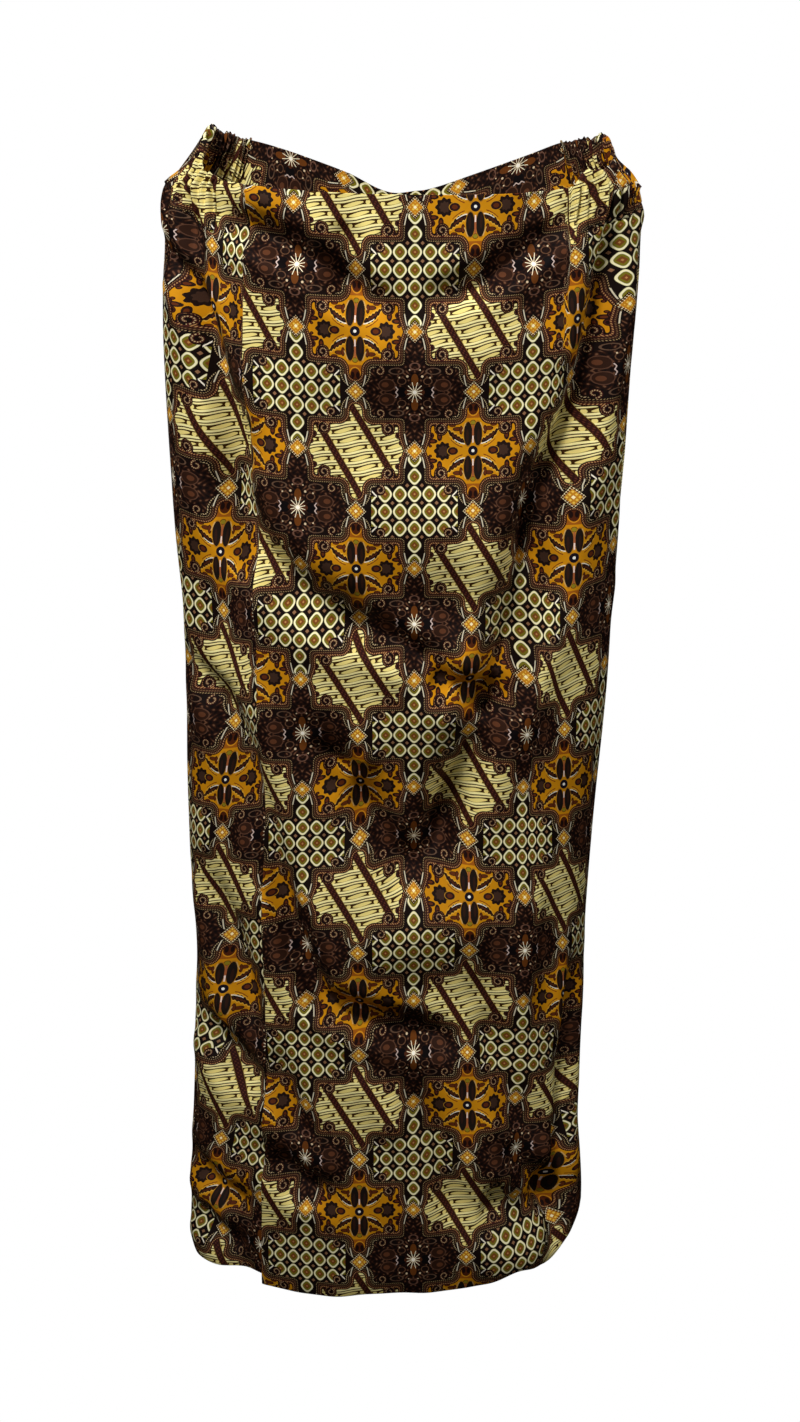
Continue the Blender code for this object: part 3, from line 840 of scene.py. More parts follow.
@dataclass(frozen=True)
class BatikPrint:
    """Printed batik: a trellis of curled cells, each with one of four traditional fillings.

    Sizes are millimetres of flat cloth. Cells of the first kind, with stars or rings of
    palm fruit, stand on whole steps of the trellis; those of the second kind, with flowers
    or slanting blades, on half steps. Golden lozenges join them. A cell's own coordinates
    are u and v, the distances from its centre, so that each is drawn once for its four
    quarters.

    Attributes:
        step: From one trellis crossing to the next.
        body: Half the width and height of a first cell's box, with corners of that radius.
        neck: Half the width of the upright neck, which tapers from neck_top to the lozenge.
        foot: Height at which a neighbour's neck ends, and the radius that rounds it off.
        blend: How softly box and neck run together; curl_blend is the tendrils' own.
        band_width: Width of the trellis band, inside which a first cell's filling lies.
        lozenge: Half the width of a lozenge where cells meet.
        inner_curl: Where a coiled tendril has its centre, and likewise the outer one.
        fruit_grid: From one fruit to the next, across and down; fruit_size is half a fruit.
        blade_slant: Degrees by which the ranks of blades lean from the level.
        blade_period: From one blade to the next; band_step is from one sloping band on.
        blade_tones: Place and half width, in periods, and colour of each stripe of a blade.
        blade_gap: Place and half width of the dark gap that holds the next blade's heart.
        dot_lines: Distance, half width, pitch and colour of each dotted line of the band.
    """

    step: float = 100.0
    body: tuple[float, float] = (44.0, 27.3)
    corner: float = 9.0
    neck: float = 13.3
    neck_top: float = 38.0
    neck_taper: float = 0.35
    foot: tuple[float, float] = (15.5, 5.7)
    blend: float = 6.0
    curl_blend: float = 4.0
    band_width: float = 4.0
    lozenge: float = 8.8
    inner_curl: tuple[float, float] = (29.4, 18.0)
    outer_curl: tuple[float, float] = (22.6, 31.6)
    curl_reach: float = 4.9
    fruit_grid: tuple[float, float] = (12.6, 14.4)
    fruit_size: tuple[float, float] = (5.9, 6.8)
    blade_slant: float = 58.5
    blade_period: float = 7.6
    blade_tones: tuple[tuple[float, float, str], ...] = (
        (0.14, 0.10, "#f4e8a4"),
        (0.42, 0.08, "#f2e49c"),
        (0.29, 0.055, "#3a2208"),
        (0.56, 0.055, "#3a2208"),
    )
    blade_gap: tuple[float, float] = (0.795, 0.205)
    band_step: float = 38.2
    dot_lines: tuple[tuple[float, float, float, str], ...] = (
        (-0.5, 0.42, 2.1, "#b88a54"),
        (-2.5, 0.35, 1.9, "#7c5a3c"),
        (-4.3, 0.34, 1.9, "#a98c60"),
    )
    near_black: str = "#140a07"
    maroon: str = "#48201a"
    blade_line: str = "#3a2208"
    cream: str = "#ecd882"
    bone: str = "#eee4d0"
    ochre: str = "#c8860e"
    gold: str = "#c07e1c"

    def border(self, u: Signal, v: Signal) -> Signal:
        """Distance outwards from the outer edge of a first cell's trellis band.

        The cell is a box with round corners joined smoothly to an upright neck, which
        tapers to the lozenge above it, and to the round tendrils that stand on its top;
        the distance is negative inside. A half circle rounds off the foot of each
        neighbour's neck above the cell's side lozenges.

        Args:
            u: Millimetres across from the cell's centre, without sign.
            v: The same down.

        Returns:
            Distances in millimetres.
        """
        across = u - (self.body[0] - self.corner)
        down = v - (self.body[1] - self.corner)
        outside_x, outside_y = across | 0.0, down | 0.0
        outside = (outside_x * outside_x + outside_y * outside_y).math("SQRT")
        box = outside + ((across | down) & 0.0) - self.corner
        neck = u - self.neck + ((v - self.neck_top) | 0.0) * self.neck_taper
        tendril = oval(u, v, self.outer_curl, (1.0, 1.0)).math("SQRT") - self.curl_reach
        joined = box.math("SMOOTH_MIN", neck, self.blend)
        joined = joined.math("SMOOTH_MIN", tendril, self.curl_blend)
        height, radius = self.foot
        below, beside = (v - height) & 0.0, u - self.step / 2
        round_foot = (beside * beside + below * below).math("SQRT") * -1.0 + radius
        return joined & (round_foot | ((v - height) * 3.0))

    def paint(self, ink: Ink, x: Signal, y: Signal) -> None:
        """Prints the whole cloth, layer on layer.

        Args:
            ink: The cloth's colour.
            x: Millimetres across the cloth, to the right.
            y: Millimetres down the cloth.
        """
        column, row = (x / self.step).math("ROUND"), (y / self.step).math("ROUND")
        px, py = x - column * self.step, y - row * self.step
        starry = (column + row).math("FLOORED_MODULO", 2.0) > 0.5
        half_column, half_row = (x / self.step).math("FLOOR"), (y / self.step).math("FLOOR")
        qx = x - half_column * self.step - self.step / 2
        qy = y - half_row * self.step - self.step / 2
        flowery = (half_column + half_row).math("FLOORED_MODULO", 2.0) > 0.5
        u, v = abs(px), abs(py)
        a, b = abs(qx), abs(qy)
        distance = self.border(u, v)
        first = distance < -self.band_width
        self.stars(ink, px, py, u, v, first * starry)
        self.fruit(ink, px, py, u, v, first * (starry < 0.5))
        self.flowers(ink, a, b, (first < 0.5) * flowery)
        self.blades(ink, qx, qy, (first < 0.5) * (flowery < 0.5))
        self.band(ink, distance, u, v)
        self.curls(ink, u, v)
        self.lozenges(ink, u, v)

    def fruit(self, ink: Ink, px: Signal, py: Signal, u: Signal, v: Signal, cell: Signal) -> None:
        """Halved palm fruit in rows: pale rounded lozenges with dark hearts, and small seeds.

        Args:
            ink: The cloth's colour.
            px: Millimetres across from the cell's centre.
            py: The same down.
            u: The size of px.
            v: The size of py.
            cell: Where such cells are.
        """
        ink.lay(cell, self.near_black)
        wide, tall = self.fruit_grid
        fx, fy = abs(px.wrapped(wide)), abs(py.wrapped(tall))
        # Seven columns and three rows in the box, and one column on up the neck
        shown = cell * ((v < 21.6) * (u < 36.8) | (u < 6.3))
        wide_share, tall_share = fx / self.fruit_size[0], fy / self.fruit_size[1]
        sum_of, gap_of = wide_share + tall_share, abs(wide_share - tall_share)
        shape = (sum_of * sum_of * sum_of + gap_of * gap_of * gap_of) * 0.5
        ink.lay(shown * (shape < 1.0), "#bdb47c")
        ink.lay(shown * shape.near(0.64, 0.25), "#f0e8bc")
        ink.lay(shown * (shape < 0.36), "#736a1a")
        ink.lay(shown * ((fx + fy) < 3.2), "#74421a")
        ink.lay(shown * ((fx + fy) < 1.0), "#b58048")
        # Seeds between the fruit, and pale brows and slanting strokes at the cell's edge
        seed = abs(fx - wide / 2) + abs(fy - tall / 2)
        ink.lay(cell * (seed < 1.7) * (u < 36.0) * (v < 25.0), "#8c6446")
        brow = abs(v - 23.2 - abs(u - 13.4) * 0.5)
        ink.lay(cell * (brow < 0.75) * u.near(12.4, 4.0), self.bone)
        ink.lay(cell * (u > 31.0) * (v > 12.6), self.near_black)
        ink.lay(cell * (abs(v - u + 19.4) < 0.75) * u.near(34.2, 2.2), self.bone)

    def stars(self, ink: Ink, px: Signal, py: Signal, u: Signal, v: Signal, cell: Signal) -> None:
        """A small rayed star among dark petals, rosettes and fine scrolls on brown ground.

        Args:
            ink: The cloth's colour.
            px: Millimetres across from the cell's centre.
            py: The same down.
            u: The size of px.
            v: The size of py.
            cell: Where such cells are.
        """
        ink.lay(cell, "#1d0e09")
        reach = (u * u + v * v).math("SQRT")
        # Fine scrolls, from two waves that bend each other
        swirl = (u * 0.92 + (v * 0.61).math("SINE") * 1.5).math("SINE")
        swirl = swirl * (v * 0.98 + (u * 0.47).math("SINE") * 1.6).math("SINE")
        ink.lay(cell * (swirl > 0.30), "#361d12")
        ink.lay(cell * (swirl > 0.74), "#654430")
        ink.lay(cell * (swirl < -0.55), "#0f0706")
        ink.blots(cell, u, v, STAR_PETALS)
        # A scalloped line on both sides, then the twelve rays of the star
        scallop = abs(u - 15.2 - (v * 1.35).math("COSINE") * 0.7)
        ink.lay(cell * (scallop < 0.55) * (v < 4.8), "#c9b2a8")
        ink.blots(cell, u, v, STAR_HEART)
        turn = py.math("ARCTAN2", px)
        ray = abs((turn * 6.0).math("COSINE")) * reach / 6.0
        tip = (v / (reach + 0.01)) * 3.4 + 5.6
        ink.lay(cell * (ray < 0.28) * (reach < tip), "#fdf0cc")
        ink.lay(cell * (reach < 1.5), "#fff8e8")

    def flowers(self, ink: Ink, a: Signal, b: Signal, cell: Signal) -> None:
        """A flower of eight dark petals with pale ribs, side buds and leaves on ochre ground.

        Args:
            ink: The cloth's colour.
            a: Millimetres across from the cell's centre, without sign.
            b: The same down.
            cell: Where such cells are.
        """
        ink.lay(cell, self.ochre)
        ink.lay(cell * (b > 27.5), "#9a5612")
        ink.blots(cell, a, b, FLOWER_TIPS)
        # Feathered leaves, which curl up along a rib on both sides
        rib = b - 5.8 - (a - 5.5) * (a - 5.5) * 0.037
        leaf = ((a - 4.2) * (math.pi / 20.0)).math("SINE") * 3.0 + (a * 2.3).math("SINE") * 0.5
        shown = cell * a.near(14.2, 10.0)
        ink.lay(shown * (abs(rib - 1.9) < (leaf + 1.0)), "#e0a838")
        ink.lay(shown * (abs(rib - 1.9) < leaf), "#22120f")
        ink.lay(shown * (abs(rib - 2.6) < (leaf - 2.0)), "#4a2412")
        ink.lay(cell * (abs(rib) < 0.40) * a.near(10.6, 5.2), self.bone)
        ink.lay(cell * (abs(rib + 3.0) < 0.45) * a.near(14.0, 5.0), "#7a3a10")
        ink.blots(cell, a, b, FLOWER_PETALS)
        # Pale ribs beside and between the petals
        ink.lay(cell * (abs(a + b * 0.41 - 15.9) < 0.45) * b.near(20.0, 3.6), "#caa262")
        ink.lay(cell * (a < 0.8) * b.near(14.5, 7.0), "#a05a34")
        ink.lay(cell * (a < 0.6) * b.near(9.6, 2.8), "#f0d8c8")
        # Notched fans at the sides, the buds round them, and the heart
        notches = (b.math("ARCTAN2", a - 25.0) * 9.0).math("COSINE") * 0.20 + 1.0
        fan = oval(a, b, (25.4, 0.0), (7.4, 7.2))
        ink.lay(cell * (fan < notches), "#1e120e")
        ink.lay(cell * (fan < (notches * 0.36)), "#3c281e")
        ink.blots(cell, a, b, FLOWER_BUDS)
        ink.lay(cell * ((a * a + b * b) < 17.0), "#15101a")
        ink.lay(cell * ((a * a + b * b) < 1.7), "#f4efe4")

    def blades(self, ink: Ink, qx: Signal, qy: Signal, cell: Signal) -> None:
        """Slanting ranks of cream blades and beads, parted by two dark sloping bands.

        Args:
            ink: The cloth's colour.
            qx: Millimetres across from the cell's centre.
            qy: The same down.
            cell: Where such cells are.
        """
        ink.lay(cell, self.cream)
        lean = 1.0 / math.tan(math.radians(self.blade_slant))
        aside = qx - qy * lean
        rank = (aside / self.band_step).math("ROUND")
        across = aside - rank * self.band_step
        lift = qy + across * 0.15 + (across * 0.21).math("SINE") * 0.45 + rank * 3.0
        phase = (lift / self.blade_period).math("FLOORED_MODULO", 1.0)
        for at, half, colour in self.blade_tones:
            ink.lay(cell * phase.near(at, half), colour)
        # Between two stripes, a cream blade and a bead beside it on the dark line's ground
        middle, half = self.blade_gap
        gap = phase.near(middle, half)
        down = (phase - middle) * self.blade_period
        lens = oval(across, down + across * 0.04, (0.0, 0.0), (9.8, 1.35)) < 1.0
        bead = oval(abs(across + down * lean), down, (13.4, 0.0), (1.9, 1.75)) < 1.0
        ink.lay(cell * gap * ((lens | bead) < 0.5), self.blade_line)
        # The sloping bands, with a dark red fleck in them
        edge = abs(across) - self.band_step / 2
        ink.lay(cell * (edge > -3.6), "#8a6a2a")
        ink.lay(cell * (edge > -3.1), "#2c130e")
        fleck = (qy * 1.9).math("SINE") * (aside * 1.8).math("SINE")
        ink.lay(cell * (edge > -2.3) * (fleck > 0.25), "#54281c")

    def band(self, ink: Ink, distance: Signal, u: Signal, v: Signal) -> None:
        """The trellis band: dark, with lines of small pale dots that follow both its edges.

        It is wider round a first cell's outer corners than along its top, and two dark
        lobes stand on it beside each upright lozenge.

        Args:
            ink: The cloth's colour.
            distance: Millimetres outwards from the band's outer edge.
            u: Millimetres across from the cell's centre, without sign.
            v: The same down.
        """
        ink.lay(distance.near(-2.2, 3.1), self.near_black)
        ink.lay(distance.near(-4.2, 3.2) * (u > 27.0), self.near_black)
        for at, size in (((14.0, 37.2), 2.8), ((11.2, 43.2), 2.6)):
            lobe = oval(u, v, at, (size, size))
            ink.lay(lobe < 1.0, "#1f0e0a")
            ink.lay(lobe.near(0.42, 0.12), self.maroon)
        run = u - v
        ink.lay(distance.near(-2.5, 0.9), "#382014")
        ink.lay(distance.near(-0.5, 0.75), self.maroon)
        for level, width, pitch, colour in self.dot_lines:
            dots = (run * (2 * math.pi / pitch)).math("COSINE") > 0.25
            ink.lay(distance.near(level, width) * dots, colour)
        dots = (run * (2 * math.pi / 2.3)).math("COSINE") > -0.1
        ink.lay(distance.near(-6.3, 0.4) * (u > 29.0) * (v > 4.0) * dots, "#bda67c")

    def curls(self, ink: Ink, u: Signal, v: Signal) -> None:
        """Coiled tendrils at the cells' corners: dark discs with a coil of pale dots.

        A coil's radius falls evenly with the turn, from its outer end where the band's
        line runs into it.

        Args:
            ink: The cloth's colour.
            u: Millimetres across from the cell's centre, without sign.
            v: The same down.
        """
        disc, outer, drawn_in = 4.6, 3.7, 2.3
        for at, start in ((self.inner_curl, 0.25), (self.outer_curl, -0.25)):
            across, down = u - at[0], v - at[1]
            reach = (across * across + down * down).math("SQRT")
            turn = down.math("ARCTAN2", across) / (2 * math.pi)
            wound = (turn - start).math("FLOORED_MODULO", 1.0)
            ink.lay(reach < disc, self.near_black)
            coil = abs(reach + wound * drawn_in - outer)
            ink.lay((reach < disc) * (coil < 0.95), self.maroon)
            dots = (turn * (2 * math.pi * 12.0)).math("COSINE") > 0.0
            ink.lay((reach < (disc + 0.1)) * (coil < 0.40) * dots, "#c2a878")

    def lozenges(self, ink: Ink, u: Signal, v: Signal) -> None:
        """Golden lozenges edged with dots where four cells meet, each between pale lashes.

        Args:
            ink: The cloth's colour.
            u: Millimetres across from the cell's centre, without sign.
            v: The same down.
        """
        beside = u > v
        half = self.step / 2
        across = abs(u - beside * half)
        down = abs(v - half + beside * half)
        lash = abs(across - 4.9 - ((down - 3.2) | 0.0).math("SQRT") * 1.15)
        shown = down.near(9.6, 4.6)
        ink.lay(shown * (lash < 1.3), self.near_black)
        ink.lay(shown * (lash < 0.48), "#d2c7ac")
        corner = across + down
        ink.lay(corner < (self.lozenge + 1.0), self.near_black)
        ink.lay(corner < self.lozenge, "#5a3008")
        one, two = u + v - half, u - v - half
        dot_step = 2.93
        dots = abs(one.wrapped(dot_step)) + abs(two.wrapped(dot_step))
        ink.lay((corner < self.lozenge) * (dots < 1.3), "#f6eabc")
        gilt, knot_step = 6.6, 4.4
        ink.lay(corner < gilt, self.gold)
        knot = abs(one.wrapped(knot_step)) | abs(two.wrapped(knot_step))
        ink.lay((corner < gilt) * (knot < 1.15), "#e6c04e")
        ink.lay(corner < 1.6, "#fbeebc")


def new_material(name: str) -> bpy.types.Material:
    """An empty material with its own node tree.

    Args:
        name: What the real one is, and how it was made.

    Returns:
        The material.
    """
    material = bpy.data.materials.new(name)
    material.use_nodes = True
    material.node_tree.nodes.clear()
    return material


def surface(tree: bpy.types.NodeTree, kind: str, inputs: dict) -> None:
    """Ends a material's tree in a shader of some kind, with its inputs."""
    shader = add_node(tree, kind, inputs)
    add_node(tree, "ShaderNodeOutputMaterial", {"Surface": shader.outputs[0]})


@dataclass(frozen=True)
class BatikCloth:
    """Plain-woven cotton and rayon, printed and calendered.

    The pressing gives a faint satin gleam along the folds, and the dye took a little
    unevenly, in patches of about 45 mm. The weave is too fine to see at this size, so its
    threads are drawn twice as coarse as the real half millimetre.

    Attributes:
        thread_mm: From one thread to the next, as drawn.
        patch_scale: Patches of uneven dye in each metre of cloth.
        uneven_dye: The dye's weakest and strongest share.
        worn: How much duller the strongest patches are than the weakest.
        gleam: The Principled shader's specular level.
    """

    print_of: BatikPrint = BatikPrint()
    thread_mm: float = 1.0
    patch_scale: float = 22.0
    uneven_dye: tuple[float, float] = (0.86, 1.10)
    roughness: float = 0.66
    worn: float = 0.16
    gleam: float = 0.06

    def material(self) -> bpy.types.Material:
        """The printed cloth as a Blender material.

        The weave is the product of two sines, one along each direction of the threads.

        Returns:
            The material.
        """
        material = new_material("printed_batik_cloth")
        tree = material.node_tree
        uv = add_node(tree, "ShaderNodeUVMap", uv_map="cloth").outputs[0]
        split = add_node(tree, "ShaderNodeSeparateXYZ", (uv,))
        ink = Ink(tree)
        x, y = Signal(tree, split.outputs[0]), Signal(tree, split.outputs[1])
        self.print_of.paint(ink, x / MM, y / -MM)
        pitch = 2 * math.pi / (self.thread_mm * MM)
        weave = (x * pitch).math("SINE") * (y * pitch).math("SINE") * 0.5 + 0.5
        patches = add_node(
            tree, "ShaderNodeTexNoise", {"Vector": uv, "Scale": self.patch_scale, "Detail": 3.0}
        ).outputs[0]
        low, high = self.uneven_dye
        shade = add_node(
            tree,
            "ShaderNodeMapRange",
            {"Value": patches, "From Min": 0.3, "From Max": 0.7, "To Min": low, "To Max": high},
        ).outputs[0]
        dyed = add_node(
            tree,
            "ShaderNodeMix",
            {0: 1.0, 6: ink.socket, 7: shade},
            data_type="RGBA",
            blend_type="MULTIPLY",
        ).outputs[2]
        bump = add_node(
            tree, "ShaderNodeBump", {"Strength": 0.12, "Distance": 0.2 * MM, "Height": weave}
        ).outputs[0]
        inputs = {
            "Base Color": dyed,
            "Roughness": Signal(tree, patches) * self.worn + (self.roughness - self.worn / 2),
            "Normal": bump,
            "Specular IOR Level": self.gleam,
            "IOR": 1.47,
        }
        surface(tree, "ShaderNodeBsdfPrincipled", inputs)
        return material


@dataclass(frozen=True)
class SewingThread:
    """Spun polyester sewing thread in dark brown, dull and a little hairy.

    Attributes:
        colour: The thread's dye; fuzz is the paler tone of its hairs.
        fuzz_mm: Size of the hairs and of the twist's bumps.
    """

    colour: str = "#1d0f09"
    fuzz: str = "#3a2216"
    fuzz_mm: float = 0.4
    roughness: float = 0.75

    def material(self) -> bpy.types.Material:
        """The thread as a Blender material, with its twist and hairs as fine bumps.

        Returns:
            The material.
        """
        material = new_material("spun_sewing_thread")
        tree = material.node_tree
        place = add_node(tree, "ShaderNodeTexCoord").outputs["Object"]
        scale = 1.0 / (self.fuzz_mm * MM)
        hairs = add_node(tree, "ShaderNodeTexNoise", {"Vector": place, "Scale": scale}).outputs[0]
        tint = add_node(
            tree,
            "ShaderNodeMix",
            {0: hairs, 6: linear(self.colour), 7: linear(self.fuzz)},
            data_type="RGBA",
        ).outputs[2]
        bump = add_node(
            tree, "ShaderNodeBump", {"Strength": 0.3, "Distance": 0.1 * MM, "Height": hairs}
        ).outputs[0]
        inputs = {"Base Color": tint, "Roughness": self.roughness, "Normal": bump, "Sheen Weight": 0.2}
        surface(tree, "ShaderNodeBsdfPrincipled", inputs)
        return material


@dataclass(frozen=True)
class Wall:
    """A thin wall of cloth as whole arrays: its two faces, its print and its kept cells."""

    outer: Array
    inner: Array
    print_place: Array
    kept: Array | None = None

    def build(self, name: str, material: bpy.types.Material) -> bpy.types.Object:
        """Makes the wall one closed mesh, with a rim along every open edge of the grid.

        Args:
            name: The piece's name.
            material: Its finish.

        Returns:
            The new object, with its place in its mesh and the print's UV map.
        """
        across, down = self.outer.shape[:2]
        count = across * down
        kept = np.ones((across - 1, down - 1), bool) if self.kept is None else self.kept
        front = np.stack([corner[kept] for corner in cell_corners(across, down)], axis=-1)
        starts, ends = front.ravel(), np.roll(front, -1, axis=1).ravel()
        alone = ~np.isin(starts * count + ends, ends * count + starts)
        start, end = starts[alone], ends[alone]
        rim = np.stack([end, start, start + count, end + count], axis=-1)
        faces = np.concatenate([front, front[:, ::-1] + count, rim])
        used, faces = np.unique(faces, return_inverse=True)
        faces = faces.reshape(-1, 4)
        points = np.concatenate([self.outer.reshape(-1, 3), self.inner.reshape(-1, 3)])[used]
        places = np.concatenate([self.print_place.reshape(-1, 2)] * 2)[used]
        mesh = bpy.data.meshes.new(name)
        mesh.vertices.add(len(points))
        mesh.vertices.foreach_set("co", points.astype(np.float32).ravel())
        mesh.loops.add(faces.size)
        mesh.loops.foreach_set("vertex_index", faces.astype(np.int32).ravel())
        mesh.polygons.add(len(faces))
        mesh.polygons.foreach_set("loop_start", np.arange(0, faces.size, 4, dtype=np.int32))
        mesh.update(calc_edges=True)
        mesh.validate()
        layer = mesh.uv_layers.new(name="cloth")
        layer.uv.foreach_set("vector", places[faces.ravel()].astype(np.float32).ravel())
        mesh.shade_smooth()
        return add_piece(name, mesh, material)


@dataclass(frozen=True)
class PrintLattice:
    """Where the print's trellis lies on a piece, from the centre of one ring cell.

    Attributes:
        arc: The real arc of that centre, in metres.
        length: Its length down the cloth.
        stretch: Cloth metres along the length for each metre of the print.
    """

    arc: float
    length: float
    stretch: float = 1.0105

    def place(self, real_arc: Array, length: Array) -> Array:
        """Print coordinates in metres, with the second one rising up the cloth."""
        return np.stack([real_arc - self.arc, (self.length - length) / self.stretch], axis=-1)


def add_piece(
    name: str, mesh: bpy.types.Mesh, material: bpy.types.Material
) -> bpy.types.Object:
    """Puts a finished mesh into the scene as an object at the origin, with its material.

    Args:
        name: The piece's name.
        mesh: Its mesh, with its place in it.
        material: Its finish.

    Returns:
        The new object.
    """
    mesh.materials.append(material)
    piece = bpy.data.objects.new(name, mesh)
    bpy.context.scene.collection.objects.link(piece)
    return piece


def cell_corners(across: int, down: int) -> tuple[Array, Array, Array, Array]:
    """The point numbers at the four corners of every cell of a grid, in turn."""
    grid = np.arange(across * down).reshape(across, down)
    return grid[:-1, :-1], grid[:-1, 1:], grid[1:, 1:], grid[1:, :-1]


def even_columns(start: float, end: float, spacing: float) -> Array:
    """Even arcs from start to end.

    Args:
        start: The first arc.
        end: The last arc.
        spacing: About how far apart they lie.

    Returns:
        The arcs.
    """
    count = max(2, round((end - start) / spacing))
    return np.linspace(start, end, count + 1)


@dataclass
class ClothPanel:
    """One body panel of the skirt, down to its turned-up hem.

    Attributes:
        name: The piece's name.
        node: The solid that it stands for.
        foot: Length at which its hem hangs.
        start: The arc at its first edge.
        end: The arc at its last edge.
        lattice: Where the print lies on it.
        flat: Width and length of its cut, in metres.
        rests_on: What it hangs from or lies on.
        sides: The casings that end its upper edge.
        edge: Width of the tight cells along its edges.
        pucker: How far the hem's puckers stand out.
        ridge: Height and width of the line where the turned-up hem ends.
        curl: How far the hem curls in, and over what height.
    """

    name: str
    node: str
    foot: float
    start: float
    end: float
    lattice: PrintLattice
    flat: tuple[float, float]
    rests_on: tuple[str, ...]
    sides: tuple[Side, ...] = ()
    wall: float = 0.9 * MM
    edge: float = 0.0008
    cut_gap: float = 0.0003
    pucker: float = 0.0009
    ridge: tuple[float, float] = (0.00025, 0.0012)
    curl: tuple[float, float] = (0.0035, 0.010)
    flat_spacing: float = 0.0035
    gathered_spacing: float = 0.0021
    band_rows: int = 12
    body_rows: int = 236

    def arcs(self) -> Array:
        """The panel's columns: closer under the gathers, with tight ones at its edges.

        Returns:
            The columns' arcs, in rising order.
        """
        cuts = [self.start + self.edge, self.end - self.edge]
        for side in self.sides:
            for arc in FORM.casing_ends(side):
                for at in (arc, arc + FORM.girth):
                    if self.start + self.edge < at < self.end - self.edge:
                        cuts += [at - self.cut_gap, at + self.cut_gap]
        cuts = sorted(cuts)
        runs = []
        for low, high in zip(cuts[:-1], cuts[1:]):
            middle = (low + high) / 2
            gathered = any(0 < FORM.casing_share(middle, side) < 1 for side in self.sides)
            spacing = self.gathered_spacing if gathered else self.flat_spacing
            runs.append(np.linspace(low, high, max(2, round((high - low) / spacing) + 1))[:-1])
        return np.concatenate([[self.start], *runs, [cuts[-1], self.end]])

    def lengths(self, arcs: Array) -> Array:
        """The panel's rows: down the waist's band, down the body, and close at the hem.

        Args:
            arcs: The panel's columns.

        Returns:
            Lengths: one line of them for each column.
        """
        top = FORM.waist_length(arcs)
        band = np.linspace(0.0, 1.0, self.band_rows + 1) * FORM.band_height
        band = np.insert(band, 1, self.edge)
        body = np.linspace(0.0, 1.0, self.body_rows + 1)[1:]
        under = top + FORM.band_height
        foot = self.hem(arcs)[:, None]
        lower = under[:, None] + (foot - self.edge - under[:, None]) * body
        return np.concatenate([top[:, None] + band, lower, foot], axis=1)

    def lift(self, arc: Array, length: Array) -> Array:
        """How far the panel's outer face stands off the tube."""
        return np.zeros(np.broadcast(arc, length).shape)

    def hem(self, arcs: Array) -> Array:
        """Length at which the hem hangs at each arc."""
        knots, drops = np.array(HEM_LINE).T
        return self.foot + through(knots, drops, arcs) * (np.abs(arcs) < 0.3)

    def hem_ripple(self, arc: Array, length: Array) -> Array:
        """Small puckers along the hem: three waves of unlike pitch, fading up the turn.

        Args:
            arc: Arcs of the places.
            length: Lengths of the places.

        Returns:
            How far the cloth stands off there, in metres.
        """
        above = self.hem(arc) - length
        near = np.exp(-(above / (1.3 * HEM_TURN)))
        wave = sum(share * np.sin(arc / pitch + start) for share, pitch, start in HEM_WAVES)
        ridge = self.ridge[0] * np.exp(-(((above - HEM_TURN) / self.ridge[1]) ** 2))
        return self.pucker * near * wave + ridge - self.curl[0] * np.exp(-above / self.curl[1])

    def print_place(self, arc: Array, length: Array) -> Array:
        """Print coordinates over the panel."""
        return self.lattice.place(FORM.cloth_arc(arc, length), length)

    def build(self, material: bpy.types.Material) -> bpy.types.Object:
        """Args:
            material: Its finish.

        Returns:
            The new piece.
        """
        arcs = self.arcs()
        length = self.lengths(arcs)
        arc = np.broadcast_to(arcs[:, None], length.shape)
        kept = np.ones((len(arcs) - 1, length.shape[1] - 1), bool)
        for side in self.sides:
            middle = (arcs[:-1] + arcs[1:]) / 2
            share = FORM.casing_share(middle, side)
            kept[(share > 0) & (share < 1), : self.band_rows + 1] = False
        place, normal = FORM.draped(arc, length)
        off = self.lift(arc, length) + self.hem_ripple(arc, length)
        turned = np.where(length > self.hem(arc) - HEM_TURN, self.wall * 0.9, 0.0)
        outer = place + normal * off[..., None]
        inner = outer - normal * (self.wall + turned)[..., None]
        piece = Wall(outer, inner, self.print_place(arc, length), kept).build(self.name, material)
        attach(piece, BODY)
        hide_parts(self.node)
        return piece


